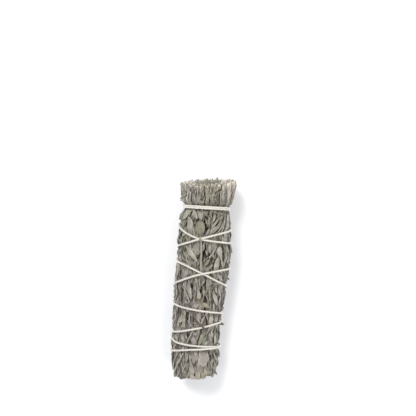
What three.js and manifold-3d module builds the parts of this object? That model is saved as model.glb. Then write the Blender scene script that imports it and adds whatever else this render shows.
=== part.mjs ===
// A sage smudge stick: a four-inch bundle of dried sage sprigs, bound with one length of white cotton string
// that winds from a tie near the cut end down to the tips and back up again.
// Millimetres. The bundle lies on the plane z = 0, its cut end towards -X and its leaf tips towards +X.

import * as THREE from "three";
import Module from "manifold-3d";
import { mergeVertices } from "three/addons/utils/BufferGeometryUtils.js";

const wasm = await Module();
wasm.setup();

const { clamp, degToRad, lerp, smoothstep } = THREE.MathUtils;
const TURN = 2 * Math.PI;

// The bundle. A place in it is given by s, the distance from the cut end, phi, the angle round the axis
// from straight up towards +Y, and r, the distance from the axis.
const LENGTH = 101.6;
const AXIS_HEIGHT = 12.8; // of the axis above the surface, at mid length
const AXIS_FALL = 0.0263; // per mm towards the tips, because the bundle tapers
const FLAT_UNDERSIDE = 0.97; // height of the flattened leaves above the surface, which leaves room for the string
const SQUARENESS = 40; // how sharply the round side turns into the flattened underside

// [s, value] pairs: the radius of the packed leaves, and how far the axis bows sideways.
const PACKED_RADIUS = [
  [-2, 14.1],
  [3, 13.8],
  [8, 13.1],
  [12, 12.3],
  [15, 10.6],
  [17.2, 11.3],
  [20, 11.9],
  [26, 12.5],
  [36, 12.75],
  [48, 12.55],
  [58, 12.3],
  [64, 11.75],
  [74, 11.4],
  [81, 11.1],
  [87, 11.35],
  [92, 10.9],
  [97, 10.45],
  [100, 9.8],
  [103, 8.4],
];
const BOW = [
  [0, 0.1],
  [25, -0.3],
  [37, 0.45],
  [45, 0],
  [55, -0.6],
  [70, -0.95],
  [83, -1.2],
  [92, -0.6],
  [103, 0.1],
];

// The cut end is slanted, so that its face can be seen from above.
const CUT_MIDDLE = 2.2;
const CUT_RISE = 2.1 / 13; // shorter on top
const CUT_SLEW = -1.7 / 13; // longer at +Y

// The tips end bluntly, a little sooner at +Y.
const TIP_SLANT = 0.13;
const TIP_SPREAD = 10.5; // half the width of the bundle there

// The sprigs: one in the middle, a ring round it, and the outer ones, side by side.
const INNER_SPRIGS = 6;
const INNER_RING = 4.0;
const INNER_REACH = 1.85; // radius that an inner sprig keeps within
const OUTER_SPRIGS = 14;
const OUTER_INSIDE = 6.15; // where the outer sprigs begin
const SPRIG_GAP = 0.16; // half the gap between neighbours
const SEAM_SWAY = 0.08; // radians that the seam between two outer sprigs wanders to each side
const SECTIONS = [-3, 9, 15, 25, 38, 55, 77, 92, 95]; // where a sprig's packed middle has its cross sections

// Depths below the packed radius. Every second outer sprig lies over its neighbours: its upper leaves
// spread across theirs.
const CORE_DEPTH = 2.85;
const LOWER_LEAF_DEPTH = 2.2;
const UPPER_LEAF_DEPTH = 0.5;
const UPPER_LEAF_LAYERING = 0.4; // how much deeper the deepest of the upper leaves lie
const FLARE_START = 18; // below this the leaves stand straight and splay towards the cut end

const LEAF_THICKNESS = 0.7;

// Leaf outlines: [share of the length, share of the half width].
const LANCE_LEAF = [
  [0, 0.42],
  [0.24, 0.86],
  [0.52, 1],
  [0.8, 0.72],
  [1, 0.1],
];
const WEDGE_LEAF = [
  [0, 0.3],
  [0.28, 0.62],
  [0.74, 1],
  [1, 0.42],
];
const STRAIGHT_BLADE = [
  [0, 0.5],
  [0.24, 0.75],
  [0.6, 0.95],
  [1, 1],
];

// The string, and its route: [quarter turns from the underside, distance from the cut end]. It starts at
// the tie and goes round by way of the left, the top and the right.
const STRING_DIAMETER = 0.95;
const STRING_CLEARANCE = 0.25;
const STRING_SIDES = 6;
const STEPS_PER_TURN = 20;
const WINDING = [
  [0, 14.3], [1, 14.75], [2, 14.7], [3, 14.5],
  [4, 14.6], [5, 15.6], [6, 15.5], [7, 15.35],
  [8, 21.5], [9, 24.5], [10, 31.05], [11, 32.3],
  [12, 35.8], [13, 42.0], [13.5, 43.8], [14, 47.4], [14.5, 51.5], [15, 53.9],
  [16, 57.0], [17, 63.2], [18, 65.8], [19, 67.5],
  [20, 74.8], [21, 80.4], [21.5, 82.75], [22, 83.4], [23, 83.9],
  [24, 86.7], [25, 87.5], [26, 85.2], [27, 83.4],
  [28, 81.3], [29, 78.3], [29.5, 77.15], [30, 74.9], [30.5, 72.45], [31, 71.0],
  [32, 62.5], [33, 55.0], [33.5, 51.6], [34, 47.75], [34.5, 45.5], [35, 44.4],
  [36, 40.3], [37, 35.6], [37.5, 33.3], [38, 29.9], [38.5, 26.95], [39, 25.0],
  [40, 17.8], [41, 15.0],
];
const QUARTER_TURNS = 40; // from the tie and back to it
const WAY_BACK = 25; // the quarter turn at which the string starts back towards the tie
const CROSSING_RISE = 1.04; // how much higher it lies where it crosses itself
const CROSSING_SPREAD = 1.25;
const TIE_ANGLE = degToRad(215);
const TIE_S = 15.6;
const TIE_RADIUS = 0.8;
const TIE_STRAND = 0.38;
const TAILS = [
  // [s, degrees] along each loose end
  [[15.6, 215], [17.2, 230], [18.9, 240], [20.4, 252]],
  [[15.6, 215], [13.0, 224], [11.4, 229], [9.6, 233]],
];

const SLIVER = 0.1; // detail smaller than this is left out
const SEED = 41;
const SAGE_TONES = [0x8f917e, 0x999a88, 0x858873, 0x928d84, 0x9b9b8c];
const STRING_COLOUR = 0xebe8df;

// Numbers from 0 to 1 that are the same on every run.
function seededRandom(seed) {
  let state = seed * 7919 + 17;
  return () => {
    state = (state + 0x6d2b79f5) | 0;
    let mixed = Math.imul(state ^ (state >>> 15), 1 | state);
    mixed = (mixed + Math.imul(mixed ^ (mixed >>> 7), 61 | mixed)) ^ mixed;
    return ((mixed ^ (mixed >>> 14)) >>> 0) / 4294967296;
  };
}

// The value at a place of a smooth line through [place, value] pairs, which never overshoots them.
function through(knots, at) {
  const last = knots.length - 1;
  const rise = (i) => (knots[i + 1][1] - knots[i][1]) / (knots[i + 1][0] - knots[i][0]);
  const slope = (i) => {
    const before = rise(Math.max(i - 1, 0));
    const after = rise(Math.min(i, last - 1));
    return before * after > 0 ? (2 * before * after) / (before + after) : 0;
  };
  let i = 0;
  while (i < last - 1 && at > knots[i + 1][0]) i += 1;
  const span = knots[i + 1][0] - knots[i][0];
  const t = clamp((at - knots[i][0]) / span, 0, 1);
  const eased = t * t * (3 - 2 * t);
  const leaving = span * slope(i) * t * (1 - t) * (1 - t);
  const arriving = span * slope(i + 1) * t * t * (1 - t);
  return lerp(knots[i][1], knots[i + 1][1], eased) + leaving - arriving;
}

const axisHeight = (s) => AXIS_HEIGHT + AXIS_FALL * (LENGTH / 2 - s);

// The radius that the packed leaves keep within: round, but flattened underneath.
function envelope(s, phi) {
  const round = through(PACKED_RADIUS, s);
  const down = -Math.cos(phi);
  if (down < 0.2) return round;
  const flat = (axisHeight(s) - FLAT_UNDERSIDE) / down;
  return (round ** -SQUARENESS + flat ** -SQUARENESS) ** (-1 / SQUARENESS);
}

function place(s, phi, r) {
  const y = through(BOW, s) + r * Math.sin(phi);
  return new THREE.Vector3(s - LENGTH / 2, y, axisHeight(s) + r * Math.cos(phi));
}

// A solid from rings of points that follow each other. Neighbouring faces are split in mirrored ways, so
// that the two faces of a thin blade never cross.
function loft(rings) {
  const sides = rings[0].length;
  const points = rings.flat();
  const faces = [];
  for (let ring = 0; ring + 1 < rings.length; ring += 1) {
    for (let side = 0; side < sides; side += 1) {
      const a = ring * sides + side;
      const b = ring * sides + ((side + 1) % sides);
      if (side % 2 === 0) faces.push([a, b, b + sides], [a, b + sides, a + sides]);
      else faces.push([a, b, a + sides], [b, b + sides, a + sides]);
    }
  }
  const end = (rings.length - 1) * sides;
  for (let side = 1; side + 1 < sides; side += 1) {
    faces.push([0, side + 1, side], [end, end + side, end + side + 1]);
  }
  const six = (volume, [a, b, c]) => volume + points[a].dot(points[b].clone().cross(points[c]));
  if (faces.reduce(six, 0) < 0) faces.forEach((face) => face.reverse());
  return solidOf(points.flatMap((p) => p.toArray()), faces.flat());
}

const solidOf = (positions, faces) =>
  new wasm.Manifold(
    new wasm.Mesh({
      numProp: 3,
      vertProperties: new Float32Array(positions),
      triVerts: new Uint32Array(faces),
    }),
  );

function solidFromGeometry(geometry) {
  const bare = geometry.clone();
  bare.deleteAttribute("normal");
  bare.deleteAttribute("uv");
  const merged = mergeVertices(bare, 1e-4);
  return solidOf(merged.attributes.position.array, merged.index.array);
}

function geometryOf(solid) {
  const mesh = solid.getMesh();
  const geometry = new THREE.BufferGeometry();
  geometry.setAttribute("position", new THREE.BufferAttribute(mesh.vertProperties, 3));
  geometry.setIndex(new THREE.BufferAttribute(mesh.triVerts, 1));
  const flat = geometry.toNonIndexed();
  flat.computeVertexNormals();
  return flat;
}

// Joins a sprig's pieces, evens out slivers and drops any scrap that a cut left loose.
function joined(pieces) {
  const all = pieces.reduce((whole, piece) => whole.add(piece)).simplify(SLIVER);
  return all.decompose().reduce((most, body) => (body.volume() > most.volume() ? body : most));
}

// Everything before the slanted cut, moved along the bundle by a sprig's own unevenness.
function beyondCut(shift) {
  const margin = 20;
  const corner = (y, z, s) => place(s, 0, 0).add(new THREE.Vector3(0, y, z - axisHeight(s)));
  const ring = (far) =>
    [[-margin, -margin], [margin, -margin], [margin, margin], [-margin, margin]].map(([y, z]) => {
      const cut = CUT_MIDDLE + CUT_RISE * z + CUT_SLEW * y + shift;
      const point = corner(y, z, far ? -margin : cut);
      point.z += axisHeight(0);
      return point;
    });
  return loft([ring(true), ring(false)]);
}

// One leaf. Its middle line runs from its root at (s, phi) along the bundle, and turns aside by slant.
// frame gives the sprig's own place(), the radius it keeps within and the angles it keeps between.
function leaf(frame, random, { s, phi, length, width, slant, heading, depth, curl, outline }) {
  const margin = 0.02 + 0.12 * random();
  const rings = outline.map(([u, breadth]) => {
    const at = s + heading * length * Math.cos(slant) * u;
    const sunk = 1.6 * (1 - smoothstep(u, 0, 0.3));
    const height = (angle) => Math.max(frame.radius(at, angle) - depth - sunk, frame.inside);
    const aside = phi + (length * Math.sin(slant) * u) / height(phi);
    const r = height(aside);
    const [low, high] = frame.between(at, r, depth < LOWER_LEAF_DEPTH && u > 0.3);
    const centre = clamp(aside, low + 0.35 / r, high - 0.35 / r);
    const half = ((width / 2) * breadth) / r;
    const left = Math.max(centre - half, low + margin / r);
    const right = Math.min(centre + half, high - margin / r);
    const edge = curl * breadth;
    return [
      frame.place(at, centre, height(centre) + LEAF_THICKNESS / 2),
      frame.place(at, right, height(right) + edge),
      frame.place(at, centre, height(centre) - LEAF_THICKNESS / 2),
      frame.place(at, left, height(left) - edge / 2),
    ];
  });
  return loft(rings);
}

// The seam between outer sprigs k - 1 and k, straight from one cross section to the next.
function seam(k, s) {
  const which = (k + OUTER_SPRIGS) % OUTER_SPRIGS;
  const sway = (i) => SEAM_SWAY * Math.sin(1.9 * i + 2.4 * which);
  const next = SECTIONS.findIndex((section) => section >= s);
  const i = next < 0 ? SECTIONS.length - 1 : Math.max(next, 1);
  const share = clamp((s - SECTIONS[i - 1]) / (SECTIONS[i] - SECTIONS[i - 1]), 0, 1);
  return ((k - 0.5) * TURN) / OUTER_SPRIGS + lerp(sway(i - 1), sway(i), share);
}

function outerFrame(k) {
  const over = k % 2 === 0;
  const middle = (n, s) => (seam(n, s) + seam(n + 1, s)) / 2;
  return {
    place,
    inside: OUTER_INSIDE + LEAF_THICKNESS / 2,
    radius: envelope,
    middle: (s) => middle(k, s),
    // A spreading leaf of an over sprig reaches to the middle of its neighbours. The rest stay between the seams.
    between: (s, r, spreading) => {
      const wide = spreading && over && s > FLARE_START;
      const low = wide ? middle(k - 1, s) : seam(k, s);
      const high = wide ? middle(k + 1, s) : seam(k + 1, s);
      return [low + SPRIG_GAP / r, high - SPRIG_GAP / r];
    },
  };
}

// The packed middle of an outer sprig: stems and hidden leaves, ribbed on its outer side.
function outerCore(k, frame) {
  const rings = SECTIONS.map((at) => {
    const depth = CORE_DEPTH + (at === SECTIONS.at(-1) ? 1.6 : 0);
    const rib = 0.35 * Math.sin(at + k);
    const [low, high] = frame.between(at, OUTER_INSIDE);
    const inner = (share) => frame.place(at, lerp(low, high, share), OUTER_INSIDE);
    const outer = (share, below) => {
      const phi = lerp(low, high, share);
      const r = frame.radius(at, phi) - depth - below;
      return frame.place(at, phi, Math.max(r, OUTER_INSIDE + 0.5));
    };
    return [
      inner(0),
      outer(0, 0.9),
      outer(0.27, 0.35 - rib),
      outer(0.5, 0.8),
      outer(0.74, 0.35 + rib),
      outer(1, 0.9),
      inner(1),
      inner(0.5),
    ];
  });
  return loft(rings);
}

// A stem that stands out of the cut end and runs into the packed middle.
function stemEnd(frame, phi, r, radius, from) {
  const rings = [0, 1].map((sunk) =>
    Array.from({ length: 6 }, (_, i) => {
      const around = (TURN * i) / 6;
      const centre = frame.place(from + 9 * sunk, phi, r * (1 - 0.12 * sunk));
      const wide = radius * (1 - 0.4 * sunk);
      return centre.add(new THREE.Vector3(0, wide * Math.cos(around), wide * Math.sin(around)));
    }),
  );
  return loft(rings);
}

const tipsEnd = (phi) => LENGTH - 0.2 - TIP_SLANT * TIP_SPREAD * (1 + Math.sin(phi));

function outerSprig(k) {
  const random = seededRandom(SEED + k);
  const spread = (reach) => (random() * 2 - 1) * reach;
  const frame = outerFrame(k);
  const over = k % 2 === 0;
  const sector = TURN / OUTER_SPRIGS;
  const pieces = [outerCore(k, frame)];

  // The splayed blades that stand between the tie and the cut end.
  const blades = over ? 3 : 2;
  for (let n = 0; n < blades; n += 1) {
    const aside = (n + 0.5) / blades - 0.5;
    pieces.push(
      leaf(frame, random, {
        s: 20,
        phi: frame.middle(10) + sector * (aside * 0.95 + spread(0.04)),
        length: 20.5,
        width: 5.6 / blades + spread(0.2),
        slant: spread(0.05),
        heading: -1,
        depth: UPPER_LEAF_DEPTH + (n % 2) * 0.5 + random() * 0.3,
        curl: spread(0.3),
        outline: STRAIGHT_BLADE,
      }),
    );
  }

  // The leaves along the bundle, most of them pointing away from the cut end.
  const count = over ? 10 : 4;
  for (let n = 0; n < count; n += 1) {
    const upper = over && n % 5 !== 3;
    const share = (n + 0.5 + spread(0.3)) / count;
    const backwards = random() < 0.3;
    const s = lerp(backwards ? 45 : 18.5, backwards ? 95 : 80, share);
    const reach = upper ? 17 + random() * 8 : 14 + random() * 6;
    const side = [1, -1, 0][n % 3] || spread(1);
    const phi = frame.middle(s) + side * sector * (0.2 + random() * 0.12);
    pieces.push(
      leaf(frame, random, {
        s,
        phi,
        length: backwards ? reach : Math.min(reach, tipsEnd(phi) - s - 0.2 * n),
        width: (upper ? 4.3 : 3.6) + spread(0.7),
        slant: side * degToRad(upper ? 5 + random() * 12 : 4),
        heading: backwards ? -1 : 1,
        depth: upper ? UPPER_LEAF_DEPTH + random() * UPPER_LEAF_LAYERING : LOWER_LEAF_DEPTH,
        curl: spread(0.35),
        outline: random() < 0.4 ? WEDGE_LEAF : LANCE_LEAF,
      }),
    );
  }

  // The last leaves, which close over the tips.
  for (const side of [-1, 1]) {
    const s = 80.7 + spread(2);
    const phi = frame.middle(s) + side * sector * 0.22;
    pieces.push(
      leaf(frame, random, {
        s,
        phi,
        length: tipsEnd(phi) - random() * 2 - s,
        width: 4 + spread(0.5),
        slant: -side * degToRad(3 + spread(3)),
        heading: 1,
        depth: over ? UPPER_LEAF_DEPTH + random() * UPPER_LEAF_LAYERING : LOWER_LEAF_DEPTH,
        curl: spread(0.3),
        outline: random() < 0.8 ? WEDGE_LEAF : LANCE_LEAF,
      }),
    );
  }

  const body = joined(pieces).subtract(beyondCut(spread(0.5)));
  const phi = frame.middle(2);
  const stemFrom = CUT_MIDDLE + 8 * (CUT_RISE * Math.cos(phi) + CUT_SLEW * Math.sin(phi)) - 0.4;
  return joined([body, stemEnd(frame, phi, 8.2, 0.95 + spread(0.2), stemFrom)]);
}

// An inner sprig, round its own line: a lobed bar of packed leaves with a stem at the cut end and
// loose tips at the other.
function innerSprig(offset, angle, n) {
  const random = seededRandom(SEED + 100 + n);
  const spread = (reach) => (random() * 2 - 1) * reach;
  const own = (s, phi, r) =>
    place(s, angle, offset).add(new THREE.Vector3(0, r * Math.sin(phi), r * Math.cos(phi)));
  const frame = {
    place: own,
    inside: 0.5,
    radius: () => INNER_REACH,
    between: () => [-Infinity, Infinity],
  };
  const rings = SECTIONS.map((s) =>
    Array.from({ length: 6 }, (_, i) => own(s, (TURN * i) / 6 + s / 60 + n, INNER_REACH - 0.4 * (i % 2))),
  );
  const tips = Array.from({ length: 3 }, (_, i) =>
    leaf(frame, random, {
      s: 84 + spread(2),
      phi: (TURN * i) / 3 + spread(0.4),
      length: 16 + spread(1.2),
      width: 2.6 + spread(0.3),
      slant: 0,
      heading: 1,
      depth: 0.55,
      curl: -0.25,
      outline: LANCE_LEAF,
    }),
  );
  const body = joined([loft(rings), ...tips]).subtract(beyondCut(spread(0.6)));
  const y = offset * Math.sin(angle);
  const z = offset * Math.cos(angle);
  const stemFrom = CUT_MIDDLE + CUT_RISE * z + CUT_SLEW * y - 0.5 + spread(0.5);
  return joined([body, stemEnd(frame, 0, 0, 0.85 + spread(0.15), stemFrom)]);
}

// How much higher the string lies after q quarter turns, where it crosses an earlier turn.
function crossingRise(q, s) {
  if (q < WAY_BACK) return 0;
  let rise = 0;
  for (let earlier = q - 4; earlier >= 0; earlier -= 4) {
    if (earlier > WAY_BACK) continue;
    const apart = (s - through(WINDING, earlier)) / CROSSING_SPREAD;
    rise = Math.max(rise, CROSSING_RISE * Math.exp(-apart * apart));
  }
  return rise;
}

const onSurface = (s, phi, lift = 0) =>
  place(s, phi, envelope(s, phi) + STRING_CLEARANCE + STRING_DIAMETER / 2 + lift);

class WoundString extends THREE.Curve {
  getPoint(t, target = new THREE.Vector3()) {
    const first = (TIE_ANGLE - Math.PI) / (TURN / 4);
    const q = lerp(first, first + QUARTER_TURNS, t);
    const s = through(WINDING, q);
    return target.copy(onSurface(s, Math.PI + (q * TURN) / 4, crossingRise(q, s)));
  }
}

function strand(curve, steps, radius) {
  curve.arcLengthDivisions = steps * 8;
  const section = new THREE.Shape(
    Array.from({ length: STRING_SIDES }, (_, i) => {
      const around = (TURN * i) / STRING_SIDES;
      return new THREE.Vector2(radius * Math.cos(around), radius * Math.sin(around));
    }),
  );
  return solidFromGeometry(
    new THREE.ExtrudeGeometry(section, { steps, extrudePath: curve, bevelEnabled: false }),
  );
}

// The string: its windings, the tie with its two loose ends, pressed flat where it lies on the surface.
function bindingString() {
  const windings = strand(new WoundString(), (QUARTER_TURNS * STEPS_PER_TURN) / 4, STRING_DIAMETER / 2);

  const tie = new THREE.TorusKnotGeometry(TIE_RADIUS, TIE_STRAND, 24, 5, 2, 3);
  tie.rotateX(Math.PI - TIE_ANGLE);
  tie.translate(...onSurface(TIE_S, TIE_ANGLE, 0.35).toArray());

  const tails = TAILS.map((stations) => {
    const points = stations.map(([s, degrees], i) => onSurface(s, degToRad(degrees), i === 0 ? 0.4 : 0.1));
    return strand(new THREE.CatmullRomCurve3(points), 6, STRING_DIAMETER / 2 - 0.03);
  });

  const floor = new THREE.BoxGeometry(2 * LENGTH, LENGTH, 10).translate(0, 0, -5);
  const whole = [solidFromGeometry(tie), ...tails].reduce((all, piece) => all.add(piece), windings);
  return joined([whole.subtract(solidFromGeometry(floor))]);
}

const bundle = new THREE.Group();
bundle.name = "sage_smudge_stick";

function addPiece(name, solid, colour, roughness) {
  const material = new THREE.MeshStandardMaterial({ color: colour, roughness, metalness: 0 });
  const mesh = new THREE.Mesh(geometryOf(solid), material);
  mesh.name = name;
  bundle.add(mesh);
}

const numbered = (n) => String(n + 1).padStart(2, "0");

for (let k = 0; k < OUTER_SPRIGS; k += 1) {
  addPiece(`outer_sprig_${numbered(k)}`, outerSprig(k), SAGE_TONES[k % SAGE_TONES.length], 0.95);
}
addPiece("middle_sprig", innerSprig(0, 0, 0), SAGE_TONES[1], 0.95);
for (let n = 0; n < INNER_SPRIGS; n += 1) {
  const angle = (TURN * n) / INNER_SPRIGS;
  addPiece(`inner_sprig_${numbered(n)}`, innerSprig(INNER_RING, angle, n + 1), SAGE_TONES[n % 3], 0.95);
}
addPiece("binding_string", bindingString(), STRING_COLOUR, 0.9);

export default bundle;
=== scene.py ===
import math

import bpy
import numpy as np
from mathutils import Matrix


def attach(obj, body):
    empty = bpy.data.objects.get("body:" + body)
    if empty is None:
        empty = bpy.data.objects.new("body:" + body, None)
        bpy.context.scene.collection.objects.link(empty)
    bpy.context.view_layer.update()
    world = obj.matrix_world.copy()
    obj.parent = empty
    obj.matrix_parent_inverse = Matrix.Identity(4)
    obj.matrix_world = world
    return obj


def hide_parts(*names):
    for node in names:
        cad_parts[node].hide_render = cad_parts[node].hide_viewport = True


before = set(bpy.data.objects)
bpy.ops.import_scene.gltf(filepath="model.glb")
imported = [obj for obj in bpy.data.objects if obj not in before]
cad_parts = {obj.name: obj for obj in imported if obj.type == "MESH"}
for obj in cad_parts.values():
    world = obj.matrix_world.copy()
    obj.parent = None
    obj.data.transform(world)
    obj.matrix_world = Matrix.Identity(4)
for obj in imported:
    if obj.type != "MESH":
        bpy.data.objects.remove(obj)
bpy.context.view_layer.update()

MM = 0.001
TURN = 2 * math.pi

# The bundle, in millimetres, with the same values as the solids. A place in it is given by s, the
# distance from the cut end, phi, the angle round the axis from straight up towards +Y, and r, the
# distance from the axis.
LENGTH = 101.6
AXIS_HEIGHT = 12.8
AXIS_FALL = 0.0263
FLAT_UNDERSIDE = 0.97
SQUARENESS = 40
PACKED_RADIUS = [
    (-2, 14.1), (3, 13.8), (8, 13.1), (12, 12.3), (15, 10.6), (17.2, 11.3), (20, 11.9), (26, 12.5),
    (36, 12.75), (48, 12.55), (58, 12.3), (64, 11.75), (74, 11.4), (81, 11.1), (87, 11.35), (92, 10.9),
    (97, 10.45), (100, 9.8), (103, 8.4),
]
BOW = [
    (0, 0.1), (25, -0.3), (37, 0.45), (45, 0.0), (55, -0.6), (70, -0.95), (83, -1.2), (92, -0.6), (103, 0.1),
]
CUT_MIDDLE = 2.2
CUT_RISE = 2.1 / 13
CUT_SLEW = -1.7 / 13
CUT_RADIUS = 13
MEAN_RADIUS = 12
TIP_SLANT = 0.13
TIP_SPREAD = 10.5

INNER_SPRIGS = 6
INNER_RING = 4.0
INNER_REACH = 1.85
OUTER_SPRIGS = 14
SECTOR = TURN / OUTER_SPRIGS
SEAM_SWAY = 0.08
SECTIONS = [-3, 9, 15, 25, 38, 55, 77, 92, 95]
UPPER_LEAF_DEPTH = 0.5
UPPER_LEAF_LAYERING = 0.4
LOWER_LEAF_DEPTH = 2.2
SEED = 41
INNER_SEED = 900

STRING_DIAMETER = 0.95
STRING_CLEARANCE = 0.25
WINDING = [
    (0, 14.3), (1, 14.75), (2, 14.7), (3, 14.5),
    (4, 14.6), (5, 15.6), (6, 15.5), (7, 15.35),
    (8, 21.5), (9, 24.5), (10, 31.05), (11, 32.3),
    (12, 35.8), (13, 42.0), (13.5, 43.8), (14, 47.4), (14.5, 51.5), (15, 53.9),
    (16, 57.0), (17, 63.2), (18, 65.8), (19, 67.5),
    (20, 74.8), (21, 80.4), (21.5, 82.75), (22, 83.4), (23, 83.9),
    (24, 86.7), (25, 87.5), (26, 85.2), (27, 83.4),
    (28, 81.3), (29, 78.3), (29.5, 77.15), (30, 74.9), (30.5, 72.45), (31, 71.0),
    (32, 62.5), (33, 55.0), (33.5, 51.6), (34, 47.75), (34.5, 45.5), (35, 44.4),
    (36, 40.3), (37, 35.6), (37.5, 33.3), (38, 29.9), (38.5, 26.95), (39, 25.0),
    (40, 17.8), (41, 15.0),
]
QUARTER_TURNS = 40  # from the tie and back to it
WAY_BACK = 25
CROSSING_RISE = 1.04
CROSSING_SPREAD = 1.25
TIE_ANGLE = math.radians(215)
TIE_S = 15.6
TIE_RADIUS = 0.8
TAILS = [
    [(15.6, 215), (17.2, 230), (18.9, 240), (20.4, 252)],
    [(15.6, 215), (13.0, 224), (11.4, 229), (9.6, 233)],
]

# What this file adds to the solids.
LEAF_THICKNESS = 0.3
NARROW_LEAF = 0.45  # half the width under which a leaf gets thinner too
CRUMPLE = 0.3  # how far a dried leaf's surface wanders
CRUMPLE_SIZE = 2.2
BULGE = 0.75  # how far the leaves swell up between the windings
STRING_TWIST = 2.6  # length of one turn of the plies
STRING_STEP = 0.26
STRING_FULLNESS = 1.1  # how far the plies stand out of the round section
PLY_DEPTH = 0.13  # share of the section's radius
FIBRE_LENGTH = 0.6
FIBRE_DENSITY = 1.1e6  # fibres to a square metre
LOWEST_LEAF = 0.12  # how far off the floor everything stays
LOWEST_STRING = 0.01

# Where the camera is: straight above, over a place near the tie. The bundle leans 4.1 degrees in the
# picture, its cut end at the top.
CAMERA_S = 15.2
CAMERA_Y = 0.6
CAMERA_DISTANCE = 600
MIDDLE_HEIGHT = 14
LEAN = math.radians(4.1)
HALF_FIELD = 104

# Leaf outlines: (share of the length, share of the half width).
LANCE = [(0, 0.14), (0.1, 0.36), (0.28, 0.8), (0.5, 1), (0.72, 0.84), (0.88, 0.46), (1, 0.08)]
WEDGE = [(0, 0.12), (0.25, 0.36), (0.55, 0.76), (0.8, 1), (0.93, 0.84), (1, 0.42)]
OVAL = [(0, 0.12), (0.14, 0.46), (0.36, 0.92), (0.6, 1), (0.84, 0.74), (0.95, 0.42), (1, 0.12)]
SPOON = [(0, 0.16), (0.3, 0.2), (0.5, 0.46), (0.66, 0.94), (0.82, 1), (0.94, 0.66), (1, 0.2)]
STRIP = [(0, 0.5), (0.2, 0.85), (0.6, 1), (1, 0.9)]
STALK = [(0, 1), (1, 0.7)]

# The layers of small leaves on a sprig, the deepest first: how deep they lie and how many there are.
SMALL_LEAF_LAYERS = [(3.1, 14), (2.3, 20), (1.6, 34), (1.0, 50), (0.45, 58)]

# The layers of strands in the splayed part of a sprig, the outermost first.
FLARE_LAYERS = [
    (0.15, 14), (0.8, 13), (1.6, 11), (2.5, 10), (3.4, 9), (4.3, 8), (5.3, 7), (6.4, 6), (7.4, 4),
]

# How much painted shade those strands get at their root, a little further and near the cut: in the first
# layer, in the second and in the deeper ones. At the cut itself each has one of four values, most of them
# pale: partly their own colour and partly painted light.
FLARE_PAINTED_SHADE = [(0.8, -0.12, -0.4), (1.0, 0.25, -0.3), (1.0, 0.65, 0.0)]
CUT_END_PAINTED_LIGHT_AND_SHADE = [-0.9, -0.7, -0.5, 0.1]

# How those strands change across the bundle: (across, tone) and (across, how light). How light carries
# painted light: both sides are painted lighter than the middle.
FLARE_TONES = [(-13, 0.5), (-9, 0.64), (-5, 0.5), (-2, 0.08), (2, 0.14), (6, 0.3), (9, 0.62), (13, 0.5)]
FLARE_LIGHTS = [(-13, 0.95), (-9, 0.7), (-5, 0.6), (-2, 0.65), (3, 0.6), (6, 0.6), (9, 0.9), (13, 0.95)]

# Tones that the leaves have, along the leaf material's range of colours.
OLIVE, SAGE, GREY, MAUVE, STRAW = 0.08, 0.3, 0.5, 0.74, 0.96
TONES_ALONG = [(0, 0.22), (28, 0.26), (42, 0.36), (50, 0.64), (62, 0.66), (76, 0.56), (101, 0.6)]
TONE_LIMIT = 0.82  # past it leaves would look like straw
TIP_TONE_LIMIT = 0.85

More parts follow.
